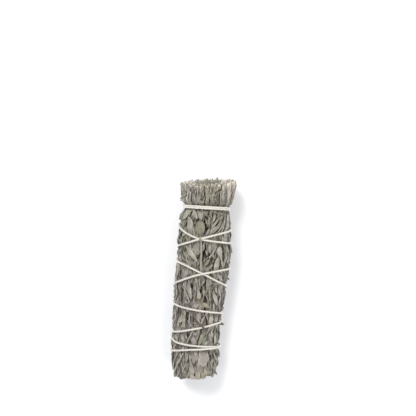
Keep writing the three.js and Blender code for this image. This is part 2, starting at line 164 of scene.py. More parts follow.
# Leaves that can be told apart on the upper side: where the root and the tip are seen (along, across),
# the width, the outline, the tone and how light it is.
SEEN_LEAVES = [
    # Above the tie.
    (12.6, -1.4, 12.2, -4.0, 1.2, OVAL, SAGE, 0.7), (13.5, -1.6, 13.2, -3.9, 0.8, LANCE, OLIVE, 0.5),
    (13.6, 6.5, 6.2, 6.4, 0.8, STRIP, SAGE, 0.75), (12.8, 8.0, 5.6, 7.6, 1.2, LANCE, GREY, 0.8),
    (13.6, 9.2, 5.0, 9.6, 0.8, STRIP, GREY, 0.8), (13.6, 10.3, 6.0, 11.1, 0.9, STRIP, MAUVE, 0.8),
    (13.4, 11.0, 6.5, 12.6, 0.8, STRIP, SAGE, 0.9), (13.5, -9.9, 5.2, -13.6, 0.7, STRIP, GREY, 0.35),
    (13.6, -6.6, 8.0, -7.4, 1.0, LANCE, MAUVE, 0.35), (13.4, -4.6, 5.0, -4.9, 0.7, STALK, SAGE, 0.6),
    (13.4, 0.3, 5.5, -0.8, 1.5, STRIP, OLIVE, 0.6), (9.6, 1.7, 8.2, 3.6, 1.0, OVAL, SAGE, 0.75),
    (13.6, 3.6, 10.0, 1.9, 0.8, STRIP, SAGE, 0.6), (10.4, 4.6, 6.2, 2.6, 0.8, STRIP, OLIVE, 0.4),
    # From the tie to the first crossing of the string.
    (16.4, -8.6, 21.6, -11.0, 3.6, OVAL, SAGE, 0.75), (29.6, -7.8, 20.2, -8.6, 4.6, OVAL, SAGE, 0.72),
    (16.2, -7.0, 21.2, -4.0, 2.2, LANCE, SAGE, 0.8), (16.6, -4.4, 21.6, -2.0, 2.3, LANCE, GREY, 0.5),
    (30.4, -2.6, 21.8, -3.0, 4.9, OVAL, OLIVE, 0.28), (24.8, -5.9, 30.2, -5.3, 0.9, STRIP, SAGE, 0.75),
    (24.6, 1.3, 20.2, -0.2, 0.8, LANCE, SAGE, 0.6), (24.2, 2.0, 20.6, 0.9, 0.6, LANCE, SAGE, 0.7),
    (17.4, 4.4, 22.4, 3.3, 1.1, LANCE, SAGE, 0.9), (18.6, 7.0, 25.6, 2.7, 1.2, LANCE, SAGE, 0.6),
    (20.4, 8.2, 28.0, 3.6, 1.5, LANCE, SAGE, 0.55), (21.0, 9.0, 28.0, 6.0, 1.1, LANCE, SAGE, 0.6),
    (17.0, 9.2, 27.5, 8.4, 0.8, STRIP, GREY, 0.7), (16.6, 10.6, 26.5, 11.2, 3.0, OVAL, GREY, 0.85),
    (16.0, 3.2, 17.8, 1.8, 1.0, OVAL, OLIVE, 0.5), (15.9, 5.2, 17.6, 3.6, 1.0, OVAL, OLIVE, 0.55),
    (16.2, 6.6, 18.4, 5.6, 0.8, LANCE, OLIVE, 0.5), (16.8, -2.6, 20.6, -1.6, 1.0, LANCE, GREY, 0.55),
    (17.0, 3.0, 19.4, 1.6, 0.9, LANCE, OLIVE, 0.6), (17.2, 6.8, 19.8, 5.2, 0.9, LANCE, OLIVE, 0.7),
    (18.0, 2.2, 20.4, 2.8, 0.8, LANCE, OLIVE, 0.4), (18.4, 8.4, 20.8, 6.8, 1.0, LANCE, SAGE, 0.7),
    (19.4, 1.4, 21.4, 2.2, 0.8, LANCE, SAGE, 0.5), (16.4, 1.2, 18.6, -0.6, 1.0, OVAL, OLIVE, 0.4),
    (17.0, -1.2, 19.6, 0.4, 0.9, LANCE, GREY, 0.5), (25.0, 2.4, 29.4, 0.6, 1.4, LANCE, MAUVE, 0.45),
    (24.0, 4.6, 28.6, 2.4, 1.6, LANCE, SAGE, 0.6), (26.5, -9.2, 30.5, -11.2, 1.2, LANCE, GREY, 0.7),
    (17.6, -3.4, 20.2, -3.6, 0.9, LANCE, GREY, 0.45), (19.8, -9.4, 22.6, -7.6, 0.8, LANCE, SAGE, 0.8),
    (23.6, 5.6, 26.8, 3.4, 0.8, STRIP, SAGE, 0.9), (22.0, 9.6, 26.0, 8.2, 0.8, LANCE, SAGE, 0.8),
    (27.0, 6.4, 30.8, 4.4, 0.9, LANCE, GREY, 0.75), (27.6, -4.6, 30.8, -6.2, 0.9, LANCE, OLIVE, 0.5),
    # From the first crossing to the second.
    (34.0, -10.0, 42.8, -2.6, 2.5, LANCE, SAGE, 0.8), (37.4, -10.6, 41.4, -7.4, 1.2, LANCE, OLIVE, 0.65),
    (38.8, -8.8, 41.0, -6.4, 0.7, LANCE, SAGE, 0.85), (39.8, -10.8, 42.4, -8.6, 0.7, LANCE, SAGE, 0.6),
    (36.2, 0.8, 39.0, 1.8, 0.9, LANCE, GREY, 0.5), (37.0, 4.0, 40.4, 5.4, 1.0, LANCE, SAGE, 0.6),
    (42.6, 4.8, 45.8, 3.0, 1.0, LANCE, GREY, 0.7), (41.4, -1.6, 44.6, -2.8, 0.9, LANCE, OLIVE, 0.5),
    (32.4, -8.0, 36.6, -6.2, 1.5, LANCE, MAUVE, 0.6), (32.6, -4.4, 39.4, -3.4, 2.6, OVAL, GREY, 0.4),
    (31.8, -1.7, 48.0, -0.7, 0.95, STALK, SAGE, 0.85), (32.8, 2.6, 38.0, 3.4, 1.7, LANCE, MAUVE, 0.7),
    (33.0, 6.6, 40.2, 3.0, 0.9, STRIP, GREY, 0.75), (43.6, 9.3, 34.0, 7.6, 2.9, SPOON, GREY, 1.0),
    (39.2, 7.6, 46.8, 6.8, 3.1, OVAL, SAGE, 0.78), (32.4, 11.4, 42.0, 12.0, 0.8, STRIP, GREY, 1.0),
    (41.6, -9.4, 43.8, -5.8, 0.8, LANCE, SAGE, 0.8), (40.6, -9.0, 42.8, -7.2, 0.7, LANCE, SAGE, 0.7),
    (43.4, -9.0, 44.8, -6.2, 0.7, LANCE, SAGE, 0.75), (38.6, -11.8, 43.4, -11.0, 1.6, LANCE, GREY, 0.7),
    (40.2, 3.6, 44.6, 0.8, 1.3, LANCE, OLIVE, 0.6), (40.0, 9.6, 45.0, 10.2, 1.2, LANCE, SAGE, 1.0),
    (44.8, 0.6, 47.6, 4.0, 2.0, LANCE, MAUVE, 0.4), (45.0, -2.2, 48.6, -4.0, 1.6, LANCE, OLIVE, 0.5),
    # From the second crossing to the third winding.
    (45.8, -7.4, 52.0, -9.4, 2.6, OVAL, MAUVE, 0.6), (46.0, -10.2, 49.8, -8.4, 0.9, LANCE, MAUVE, 0.7),
    (47.6, 7.2, 51.0, 10.4, 2.0, LANCE, MAUVE, 0.95), (50.4, -1.2, 54.6, -0.6, 0.8, STRIP, OLIVE, 0.8),
    (50.4, 2.0, 54.4, 0.0, 1.0, LANCE, MAUVE, 0.55), (50.6, 3.4, 53.6, 5.0, 0.8, LANCE, SAGE, 0.8),
    (52.6, -6.6, 61.4, -4.4, 2.1, LANCE, GREY, 0.7), (53.4, -3.4, 57.6, -2.6, 1.2, LANCE, MAUVE, 0.6),
    (54.4, -2.0, 61.0, -0.8, 2.1, WEDGE, SAGE, 0.75), (57.0, -7.8, 63.4, -4.8, 1.2, LANCE, SAGE, 0.8),
    (53.6, 4.4, 61.6, 5.0, 1.0, STRIP, OLIVE, 0.75), (57.2, 6.3, 63.2, 8.3, 2.5, OVAL, GREY, 0.85),
    (53.6, 7.0, 57.6, 8.0, 1.3, LANCE, GREY, 0.7), (54.0, 8.6, 59.2, 9.8, 1.4, LANCE, MAUVE, 0.8),
    (54.6, -8.4, 61.0, -7.6, 1.4, LANCE, OLIVE, 0.6), (56.0, -12.0, 61.0, -11.5, 1.3, LANCE, SAGE, 0.8),
    (60.5, -11.6, 64.0, -10.6, 1.2, LANCE, SAGE, 0.75), (62.2, 0.4, 64.8, 5.0, 1.7, OVAL, OLIVE, 0.65),
    (62.0, 7.2, 66.8, 7.8, 1.8, LANCE, GREY, 0.8), (60.6, -3.4, 65.6, -2.4, 1.6, LANCE, GREY, 0.6),
    (55.4, 1.0, 59.4, 1.6, 1.2, LANCE, SAGE, 0.65), (55.8, 3.0, 58.8, 2.2, 0.9, LANCE, OLIVE, 0.6),
    # From the third winding to the fourth.
    (66.6, -11.8, 72.8, -11.4, 1.2, LANCE, GREY, 0.7), (67.0, -8.3, 73.4, -8.9, 1.3, WEDGE, SAGE, 0.8),
    (69.4, -9.6, 76.6, -9.9, 1.8, LANCE, OLIVE, 0.75), (72.4, -7.4, 76.4, -6.6, 1.0, LANCE, OLIVE, 0.8),
    (66.8, -4.7, 73.6, -4.6, 0.8, STRIP, GREY, 0.75), (72.8, -4.2, 75.6, -3.8, 1.2, LANCE, MAUVE, 0.65),
    (68.6, -1.4, 73.8, 0.8, 1.6, LANCE, MAUVE, 0.6), (68.8, 3.2, 74.0, 1.0, 1.2, LANCE, MAUVE, 0.7),
    (68.0, 6.4, 73.6, 6.6, 3.0, OVAL, GREY, 0.85), (68.4, 8.6, 72.8, 8.4, 1.5, LANCE, GREY, 0.75),
    (76.4, 3.6, 84.4, 0.8, 2.4, LANCE, OLIVE, 0.5), (78.6, 4.6, 84.0, 2.8, 1.5, LANCE, OLIVE, 0.4),
    (75.4, -2.2, 84.2, -5.4, 0.65, STALK, GREY, 0.95), (79.6, -2.6, 84.2, -1.4, 2.3, OVAL, MAUVE, 0.65),
    (77.4, -1.8, 79.4, -1.0, 1.1, OVAL, MAUVE, 0.8), (78.6, -8.2, 83.4, -6.6, 1.8, LANCE, GREY, 0.6),
    (79.0, -11.4, 83.4, -10.0, 1.6, LANCE, GREY, 0.8), (75.6, 6.4, 79.6, 7.4, 1.4, LANCE, GREY, 0.95),
    (76.4, 8.8, 83.6, 8.6, 2.0, LANCE, GREY, 0.95), (84.6, 5.0, 81.6, 4.4, 2.2, OVAL, GREY, 0.95),
    # From the last windings to the tips.
    (85.0, -6.8, 87.6, -7.4, 1.4, LANCE, GREY, 0.7), (86.6, 3.4, 94.6, 4.0, 5.0, OVAL, 0.62, 0.66),
    (86.6, 5.2, 92.4, 6.6, 0.8, LANCE, GREY, 0.95), (88.6, -6.6, 100.8, -9.8, 0.75, STALK, GREY, 0.9),
    (88.0, -4.0, 93.0, -4.6, 1.2, LANCE, SAGE, 0.7), (91.4, -3.0, 98.8, -1.2, 2.4, WEDGE, GREY, 0.65),
    (85.6, -10.2, 90.6, -9.2, 0.9, LANCE, GREY, 0.95), (87.0, -8.4, 91.4, -7.6, 0.8, LANCE, SAGE, 0.9),
    (93.6, -4.6, 98.2, -6.2, 0.7, STRIP, SAGE, 0.95), (88.4, -9.6, 92.6, -10.4, 0.6, STRIP, SAGE, 0.95),
    (92.8, -7.6, 97.4, -5.6, 0.6, STRIP, GREY, 0.95), (96.4, -7.2, 100.6, -8.2, 0.6, STRIP, SAGE, 0.9),
    (89.4, -6.0, 94.4, -5.8, 0.8, LANCE, GREY, 0.6), (96.6, 9.4, 99.6, 8.4, 0.9, LANCE, SAGE, 0.85),
    (90.6, 8.6, 94.6, 9.4, 0.8, LANCE, SAGE, 0.9), (92.2, 0.4, 95.4, 1.2, 1.0, LANCE, GREY, 0.5),
    (88.2, -1.8, 93.4, -0.6, 1.6, LANCE, MAUVE, 0.5), (90.4, -9.4, 96.4, -8.8, 1.3, LANCE, SAGE, 0.8),
    (91.0, -11.0, 97.6, -10.4, 1.3, LANCE, SAGE, 0.8), (95.6, -9.8, 100.6, -9.4, 1.0, LANCE, SAGE, 0.75),
    (94.8, -6.6, 99.8, -4.8, 1.2, LANCE, GREY, 0.4), (96.6, -2.4, 101.0, -4.0, 0.8, LANCE, GREY, 0.8),
    (91.4, 7.2, 94.8, 7.8, 0.6, STRIP, STRAW, 0.95), (95.4, 5.4, 98.4, 8.4, 1.4, LANCE, OLIVE, 0.5),
    (96.2, 0.8, 100.8, 1.8, 2.4, OVAL, STRAW, 0.6), (97.0, 3.6, 100.6, 4.6, 2.2, OVAL, OLIVE, 0.7),
    (86.8, 8.2, 91.0, 9.6, 1.2, LANCE, GREY, 0.9), (92.4, 9.4, 97.8, 9.4, 1.3, LANCE, SAGE, 0.85),
    (95.2, 8.6, 98.6, 7.4, 1.2, LANCE, SAGE, 0.95), (88.6, 9.8, 92.0, 10.6, 0.9, LANCE, SAGE, 0.95),
]

# Dark crevices between them, where only the deepest leaves are seen: where each begins and ends (along,
# across) and how wide it is.
SEEN_CREVICES = [
    # Above the tie.
    (6.0, -9.6, 6.8, -9.3, 1.2), (8.2, -8.8, 9.2, -8.5, 1.0), (7.5, -7.8, 9.0, -7.5, 0.9),
    (7.6, -6.3, 9.8, -6.0, 0.9), (7.0, -4.9, 8.0, -4.8, 0.9), (11.8, -9.6, 13.2, -9.4, 1.0),
    (12.5, -11.0, 14.4, -10.8, 1.0), (11.4, -7.9, 14.2, -7.7, 1.0), (11.2, -5.3, 13.0, -5.0, 1.0),
    (13.9, -3.3, 14.3, -2.0, 0.8), (8.8, -1.6, 9.4, -1.6, 0.9), (10.8, -2.5, 11.2, -2.4, 0.9),
    (12.0, -1.3, 14.0, -1.2, 0.8), (10.6, 1.0, 11.8, 1.1, 0.9), (7.6, 4.4, 6.8, 5.0, 0.9),
    (7.4, 5.7, 10.0, 5.6, 1.5), (10.0, 5.4, 14.0, 5.6, 0.9), (4.0, 7.2, 6.0, 7.1, 0.9),
    (4.4, 6.0, 6.0, 6.1, 0.8), (5.8, 2.2, 6.1, 2.2, 0.9), (8.0, 7.4, 9.0, 7.6, 0.8),
    (12.0, 6.8, 11.0, 7.2, 1.0), (10.4, 8.5, 12.4, 8.6, 0.8), (12.4, 4.2, 13.6, 4.3, 0.8),
    # From the tie to the first crossing of the string.
    (17.2, 3.9, 18.8, 3.2, 0.6), (18.6, 5.6, 20.0, 4.6, 0.6), (17.8, 0.6, 18.8, 1.4, 0.6),
    (16.6, -5.6, 17.8, -5.3, 0.7), (16.4, 0.2, 16.9, 1.4, 0.6), (18.2, 4.6, 18.5, 4.8, 0.7),
    (19.2, 5.9, 17.6, 7.0, 0.8), (19.3, 0.4, 20.0, 0.6, 0.7), (18.4, -7.7, 20.0, -8.5, 0.8),
    (20.0, -8.5, 22.6, -10.5, 0.6), (22.6, -10.6, 25.5, -10.1, 0.5), (25.5, -10.1, 27.5, -9.6, 0.6),
    (20.4, -6.4, 21.2, -5.2, 0.5), (21.2, -5.0, 21.4, -3.8, 0.7), (21.2, -0.9, 21.8, -0.9, 0.8),
    (23.0, -6.8, 23.5, -6.5, 0.5), (22.6, -1.2, 23.8, -1.1, 0.5),
    (22.4, 0.4, 23.4, 0.9, 0.6), (20.6, 1.0, 21.8, 1.3, 0.6), (26.4, 0.3, 26.4, 1.6, 0.7),
    (24.8, -6.0, 25.4, -5.9, 0.5), (27.2, -6.8, 28.8, -6.3, 0.7), (21.6, 4.2, 20.6, 4.9, 0.5),
    (24.8, 3.8, 23.4, 4.9, 0.6), (22.9, 5.2, 21.4, 6.4, 0.5), (20.0, 6.6, 21.0, 6.8, 0.5),
    (27.6, 4.4, 26.6, 5.3, 0.5), (28.2, 1.2, 28.6, 1.2, 0.6), (30.2, 4.0, 30.0, 4.8, 0.7),
    # From the first crossing to the second.
    (33.2, -5.6, 34.0, -5.4, 0.8), (33.2, 0.5, 36.0, 0.3, 0.8), (38.0, -0.2, 40.6, -0.4, 0.9),
    (35.2, 2.4, 37.6, 2.6, 0.6), (37.8, 2.9, 38.2, 3.0, 0.6), (38.4, 0.8, 39.2, 1.4, 0.6),
    (38.5, 4.8, 39.1, 5.2, 0.9), (39.4, 5.3, 39.9, 6.4, 0.5), (36.8, -11.0, 38.0, -10.8, 0.7),
    (38.9, -10.3, 39.1, -10.2, 0.5), (37.4, -4.0, 39.8, -3.2, 0.5), (41.4, -5.7, 42.2, -5.1, 0.8),
    (43.2, -3.2, 43.3, -2.6, 0.6), (42.2, 1.7, 41.8, 2.0, 0.6), (43.0, 3.8, 43.8, 4.4, 0.7),
    (44.0, 4.7, 46.0, 5.6, 0.8), (37.0, 5.9, 39.6, 7.4, 0.5), (38.0, 10.2, 38.8, 10.9, 0.9),
    (34.0, 10.1, 34.8, 9.2, 0.5), (36.4, 4.5, 38.0, 3.7, 0.4), (45.2, 2.0, 46.6, 1.6, 0.6),
    (39.5, 9.6, 41.5, 9.6, 0.4), (43.0, -6.6, 43.8, -5.4, 0.4), (46.4, -8.6, 47.4, -8.4, 0.7),
    # From the second crossing to the third winding.
    (48.6, -11.0, 50.4, -10.8, 0.7), (49.8, -7.0, 50.6, -6.8, 0.6), (50.6, 2.4, 53.0, 2.8, 0.8),
    (51.6, 1.9, 53.4, 0.6, 0.6), (54.2, 1.2, 54.4, 1.5, 0.6), (52.0, 4.9, 54.4, 5.6, 0.6),
    (52.4, -7.1, 54.2, -7.3, 0.7), (53.4, -9.6, 54.6, -9.5, 0.7), (52.5, -5.6, 54.0, -5.2, 0.5),
    (51.6, -4.2, 52.4, -3.9, 0.5), (52.2, -1.9, 53.5, -1.8, 0.5), (50.8, -2.1, 51.0, -1.8, 0.5),
    (55.0, -4.6, 55.4, -4.4, 0.5), (56.2, -6.9, 57.0, -6.7, 0.6), (57.8, -7.6, 58.4, -7.5, 0.5),
    (57.2, -9.2, 60.4, -9.6, 0.7), (61.0, -9.0, 62.6, -8.7, 0.6), (61.4, -10.4, 62.6, -10.2, 0.5),
    (57.0, -6.0, 58.6, -5.4, 0.5), (58.4, 1.3, 59.6, 1.6, 0.8), (58.6, 3.2, 57.2, 3.6, 0.7),
    (56.2, 1.5, 56.5, 1.6, 0.6), (56.3, 2.8, 56.6, 2.8, 0.5), (56.6, 0.3, 57.0, 0.3, 0.5),
    (61.0, 0.5, 61.5, 0.7, 0.7), (60.8, 3.0, 62.4, 3.8, 0.9), (57.5, 5.4, 61.4, 5.8, 0.7),
    (63.5, 6.2, 64.6, 6.4, 0.5), (63.3, -6.9, 63.6, -6.7, 0.7), (61.6, -5.7, 62.0, -5.5, 0.5),
    (64.9, 2.2, 65.8, 3.2, 0.6), (59.0, 9.0, 62.0, 9.0, 0.4), (58.5, -2.2, 59.6, -1.8, 0.5),
    # From the third winding to the fourth.
    (66.8, -7.8, 68.6, -5.8, 0.8), (68.6, -9.5, 69.8, -9.7, 0.7), (67.0, -9.6, 68.5, -9.5, 0.5),
    (67.8, -4.5, 68.8, -4.3, 0.5), (69.2, -7.2, 69.8, -7.4, 0.8), (69.2, -2.6, 69.8, -2.5, 0.8),
    (71.2, -2.7, 72.0, -2.4, 0.9), (72.0, -6.9, 72.4, -6.5, 0.7), (72.6, -8.6, 76.2, -8.3, 0.5),
    (74.6, -5.9, 75.6, -5.7, 0.9), (73.4, -2.9, 75.0, -2.5, 0.5), (75.1, -1.4, 75.4, -1.4, 0.6),
    (70.0, 1.7, 71.6, 1.8, 0.6), (68.2, 3.2, 69.5, 3.0, 0.6), (71.8, 4.3, 72.8, 4.5, 0.6),
    (71.8, 7.8, 70.5, 8.6, 0.5), (77.7, -1.5, 78.0, -1.2, 0.7), (79.8, -1.7, 80.6, -1.4, 0.7),
    (77.9, -3.2, 78.6, -3.4, 0.6), (79.6, -4.9, 80.8, -4.4, 0.9), (82.6, -3.6, 83.2, -3.2, 0.8),
    (78.4, 0.7, 80.6, 0.8, 0.7), (83.0, 0.1, 81.0, 0.5, 0.5), (77.4, 5.5, 78.4, 5.4, 0.6),
    (81.8, 5.6, 83.2, 6.2, 0.5), (83.0, 3.3, 83.3, 3.2, 0.5), (79.5, -8.8, 81.2, -8.6, 0.6),
    (75.4, 9.6, 78.0, 9.8, 0.5),
    # From the last windings to the tips.
    (85.2, -3.6, 86.4, -4.6, 0.8), (85.8, 2.0, 85.6, -2.0, 0.5), (86.6, -8.6, 84.8, -7.8, 0.6),
    (88.0, -4.4, 88.3, -3.8, 0.6), (88.0, -1.6, 88.2, -0.9, 0.5), (89.2, -0.8, 89.6, -0.6, 0.7),
    (90.0, -5.9, 90.6, -5.8, 0.7), (89.0, 1.1, 92.4, 1.4, 0.5), (93.0, 1.4, 93.6, 1.8, 0.7),
    (91.5, -3.9, 95.5, -3.5, 0.6), (91.8, -7.9, 92.6, -7.4, 0.7), (93.5, -6.4, 96.2, -6.3, 0.7),
    (96.2, -5.4, 98.4, -4.8, 0.6), (95.6, 4.2, 95.8, 5.4, 1.1), (96.0, 2.6, 95.6, 5.0, 0.8),
    (95.6, 5.2, 95.0, 7.8, 0.9), (95.8, 0.5, 96.6, 0.7, 0.6), (88.2, 6.4, 90.8, 8.2, 0.6),
    (92.6, 8.3, 93.2, 8.5, 0.7), (96.4, 8.7, 97.8, 9.0, 0.7), (98.6, -2.0, 99.2, -1.7, 0.6),
    (99.0, -0.2, 99.2, 0.1, 0.5), (98.8, 4.8, 99.2, 4.8, 0.6), (89.5, -11.0, 91.0, -10.9, 0.6),
    (91.9, -9.8, 92.2, -9.7, 0.5), (96.8, -10.8, 98.0, -10.8, 0.5), (97.2, -3.8, 98.0, -3.4, 0.5),
]

# Leaf tips that stand out of the sides: the distance along and degrees round of the root, how far they
# reach along and out, the width, the tone and how light they are.
STRAY_LEAVES = [
    (48.8, 87, 1.6, 1.2, 1.0, OLIVE, 0.1), (63.0, 85, 2.2, 0.8, 1.2, OLIVE, 0.2),
    (64.4, 80, 1.8, 0.9, 0.9, OLIVE, 0.15), (70.6, 86, 2.4, 2.3, 2.2, OLIVE, 0.1),
    (84.6, 84, 3.4, 0.8, 1.6, GREY, 0.4), (86.6, 80, 2.4, 0.9, 1.3, GREY, 0.2),
    (34.8, 86, 2.0, 0.5, 0.9, GREY, 0.3), (96.0, 78, 2.2, 0.7, 0.9, SAGE, 0.4),
    (20.2, -87, 1.8, 0.5, 1.0, GREY, 0.5), (52.0, -86, 2.4, 0.6, 1.1, GREY, 0.6),
    (10.0, -84, 1.8, 0.9, 0.9, GREY, 0.5), (11.2, -80, 1.4, 1.0, 0.8, GREY, 0.5),
    (5.6, -86, -1.6, 0.2, 0.7, GREY, 0.3), (4.2, 84, -1.6, 0.2, 0.7, GREY, 0.3),
]

# Leaves that cross over the string: where the root and the tip are seen, the width, the outline, the tone,
# how light and how dark they are, and how far out they lie there.
LEAVES_OVER_STRING = [
    (28.9, -2.0, 32.4, -1.7, 0.95, STRIP, OLIVE, 0.7, 0.0, 2.4),
    (70.8, -2.4, 75.4, 2.8, 1.0, STRIP, OLIVE, 0.1, 0.42, 1.6),
    (75.2, 2.6, 78.8, 2.6, 1.6, LANCE, OLIVE, 0.3, 0.2, 1.5),
]


def seeded_random(seed):
    """Numbers from 0 to 1, the same as the solids were made with."""
    state = seed * 7919 + 17

    def number():
        nonlocal state
        state = (state + 0x6D2B79F5) & 0xFFFFFFFF
        mixed = ((state ^ (state >> 15)) * (1 | state)) & 0xFFFFFFFF
        mixed = ((mixed + (mixed ^ (mixed >> 7)) * (61 | mixed)) & 0xFFFFFFFF) ^ mixed
        return (mixed ^ (mixed >> 14)) / 4294967296

    return number


def through(knots, at):
    """The values at some places of a smooth line through (place, value) pairs, which it never overshoots."""
    x, y = np.array(knots, float).T
    rise = np.diff(y) / np.diff(x)
    before = rise[np.maximum(np.arange(len(x)) - 1, 0)]
    after = rise[np.minimum(np.arange(len(x)), len(x) - 2)]
    same = before * after > 0
    slope = np.where(same, 2 * before * after / np.where(same, before + after, 1), 0)
    at = np.asarray(at, float)
    i = np.clip(np.searchsorted(x, at, side="left") - 1, 0, len(x) - 2)
    span = x[i + 1] - x[i]
    t = np.clip((at - x[i]) / span, 0, 1)
    value = y[i] + (y[i + 1] - y[i]) * t * t * (3 - 2 * t)
    return value + span * (slope[i] * t * (1 - t) ** 2 - slope[i + 1] * t * t * (1 - t))


def smoothstep(x, low, high):
    t = np.clip((x - low) / (high - low), 0, 1)
    return t * t * (3 - 2 * t)


def axis_height(s):
    return AXIS_HEIGHT + AXIS_FALL * (LENGTH / 2 - s)


def envelope(s, phi):
    """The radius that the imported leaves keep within: round, but flattened underneath."""
    rounded = through(PACKED_RADIUS, s)
    down = np.maximum(-np.cos(phi), 0.2)
    flat = (axis_height(s) - FLAT_UNDERSIDE) / down
    pressed = (rounded ** -SQUARENESS + flat ** -SQUARENESS) ** (-1 / SQUARENESS)
    return np.where(-np.cos(phi) < 0.2, rounded, pressed)


def place(s, phi, r):
    """Points in the shared frame, in millimetres."""
    s, phi, r = np.broadcast_arrays(*(np.asarray(v, float) for v in (s, phi, r)))
    y = through(BOW, s) + r * np.sin(phi)
    z = axis_height(s) + r * np.cos(phi)
    return np.stack([s - LENGTH / 2, y, z], axis=-1)


def outward(s, phi):
    """The direction that the surface of the bundle faces."""
    around = place(s, phi + 0.03, envelope(s, phi + 0.03)) - place(s, phi - 0.03, envelope(s, phi - 0.03))
    normal = np.stack([np.zeros_like(around[..., 0]), -around[..., 2], around[..., 1]], axis=-1)
    return normal / np.linalg.norm(normal, axis=-1, keepdims=True)


def cut_at(phi, r):
    """Where the slanted cut is, as a distance from the cut end."""
    return CUT_MIDDLE + r * (CUT_RISE * np.cos(phi) + CUT_SLEW * np.sin(phi))


def tips_end(phi, r=TIP_SPREAD):
    """Where the blunt end of the tips is: a little sooner at +Y."""
    return LENGTH - 0.2 - TIP_SLANT * (TIP_SPREAD + r * np.sin(phi))


def seen_at(along, across):
    """The place on the upper side that is seen there from the camera, as s and phi."""
    s, y, phi = along, across, 0.0
    for _ in range(4):
        phi = math.asin(max(-0.97, min(0.97, (y - float(through(BOW, s))) / float(envelope(s, phi)))))
        height = float(axis_height(s) + envelope(s, phi) * math.cos(phi))
        nearer = 1 - (height - MIDDLE_HEIGHT) / CAMERA_DISTANCE
        s = CAMERA_S + (along - CAMERA_S) * nearer
        y = CAMERA_Y + (across - CAMERA_Y) * nearer
    return s, phi


# The route of the string.
def crossing_rise(q, s):
    """How much higher the string lies on its way back, where it crosses an earlier turn."""
    rise = np.zeros_like(q)
    for turns_back in range(1, 11):
        earlier = q - 4 * turns_back
        apart = (s - through(WINDING, earlier)) / CROSSING_SPREAD
        here = (q >= WAY_BACK) & (earlier >= 0) & (earlier <= WAY_BACK)
        rise = np.where(here, np.maximum(rise, CROSSING_RISE * np.exp(-apart * apart)), rise)
    return rise


def on_surface(s, phi, lift=0.0):
    return place(s, phi, envelope(s, phi) + STRING_CLEARANCE + STRING_DIAMETER / 2 + lift)


def winding_places(count):
    first = (TIE_ANGLE - math.pi) / (TURN / 4)
    q = np.linspace(first, first + QUARTER_TURNS, count)
    return q, through(WINDING, q), math.pi + q * TURN / 4


# How far each place on the bundle is from the string, on a grid, so that leaves can dip under it.
GRID_S = np.arange(0, 104.1, 0.5)
GRID_PHI = np.radians(np.arange(0, 361, 2))


def string_distances():
    _, s, phi = winding_places(2400)
    radius = through(PACKED_RADIUS, s)
    table = np.empty((len(GRID_S), len(GRID_PHI)))
    for column, angle in enumerate(GRID_PHI):
        around = (phi - angle + math.pi) % TURN - math.pi
        gap = (GRID_S[:, None] - s) ** 2 + (radius * around) ** 2
        table[:, column] = np.sqrt(gap.min(axis=1))
    return table


STRING_DISTANCE = string_distances()


def string_distance(s, phi):
    row = np.clip(np.asarray(s) / 0.5, 0, len(GRID_S) - 1.001)
    column = (np.asarray(phi) % TURN) / math.radians(2)
    i, j = row.astype(int), np.minimum(column.astype(int), len(GRID_PHI) - 2)
    a, b = row - i, column - j
    near = STRING_DISTANCE[i, j] * (1 - b) + STRING_DISTANCE[i, j + 1] * b
    far = STRING_DISTANCE[i + 1, j] * (1 - b) + STRING_DISTANCE[i + 1, j + 1] * b
    return near * (1 - a) + far * a


def loose(s, phi, reach):
    """How free the leaves are to swell: not under the string, and little in the splayed part."""
    return smoothstep(string_distance(s, phi), 0.5, reach) * (0.45 + 0.55 * smoothstep(s, 9, 16))


def skin(s, phi):
    """The surface of the leaves: the envelope, swelling a little between the windings."""
    lumps = 0.25 * np.sin(0.37 * s + 3 * np.sin(phi)) * np.cos(2 * phi + 0.21 * s)
    return envelope(s, phi) + loose(s, phi, 2.8) * (BULGE + lumps) - 0.1


def ceiling(s, phi):
    """How far out a leaf may reach: it is held down under the string and free away from it, and nothing
    sinks into the floor."""
    down = -np.cos(phi)
    above_floor = np.where(down > 0.2, (axis_height(s) - 0.4) / np.maximum(down, 0.2), 99)
    return np.minimum(envelope(s, phi) + 0.12 + loose(s, phi, 2.1), above_floor)


def held_under(r, top, softness=0.14):
    """A distance from the axis, eased so that it never passes the top."""
    return top - softness * np.log1p(np.exp(np.clip((top - r) / softness, -50, 50)))


# Places on the upper side that seen leaves cover, each with half its width, and the seen gaps.
PLACES_ON_LEAF = 7
UNDER_CREVICE = 1.9  # how much deeper a leaf goes there
UNDER_SEEN_LEAF = 1.0


def seen_line(along, across, tip_along, tip_across):
    s, phi = seen_at(along, across)
    tip_s, tip_phi = seen_at(tip_along, tip_across)
    return s, phi, tip_s, tip_phi


def covered_places():
    places = []
    for along, across, tip_along, tip_across, width, *_ in SEEN_LEAVES:
        s, phi, tip_s, tip_phi = seen_line(along, across, tip_along, tip_across)
        for share in np.linspace(0.05, 0.95, PLACES_ON_LEAF):
            places.append((s + (tip_s - s) * share, phi + (tip_phi - phi) * share, width / 2))
    return np.array(places)


def crevice_places():
    places = []
    for along, across, end_along, end_across, width in SEEN_CREVICES:
        s, phi, end_s, end_phi = seen_line(along, across, end_along, end_across)
        for share in np.linspace(0, 1, 2 + int(2 * math.hypot(end_along - along, end_across - across))):
            places.append((s + (end_s - s) * share, phi + (end_phi - phi) * share, 0.41 * width))
    return np.array(places)


COVERED = covered_places()
CREVICES = crevice_places()


def clearance(places, s, phi, half):
    """How far each station of a leaf keeps from some places, less their own reach and half its width, and
    the side of the nearest of them that it passes on."""
    around = (phi[:, None] - places[:, 1] + math.pi) % TURN - math.pi
    apart = np.hypot(s[:, None] - places[:, 0], MEAN_RADIUS * around) - places[:, 2] - half[:, None]
    closest = np.unravel_index(apart.argmin(), apart.shape)
    return apart.min(axis=1), 1 if around[closest] > 0 else -1


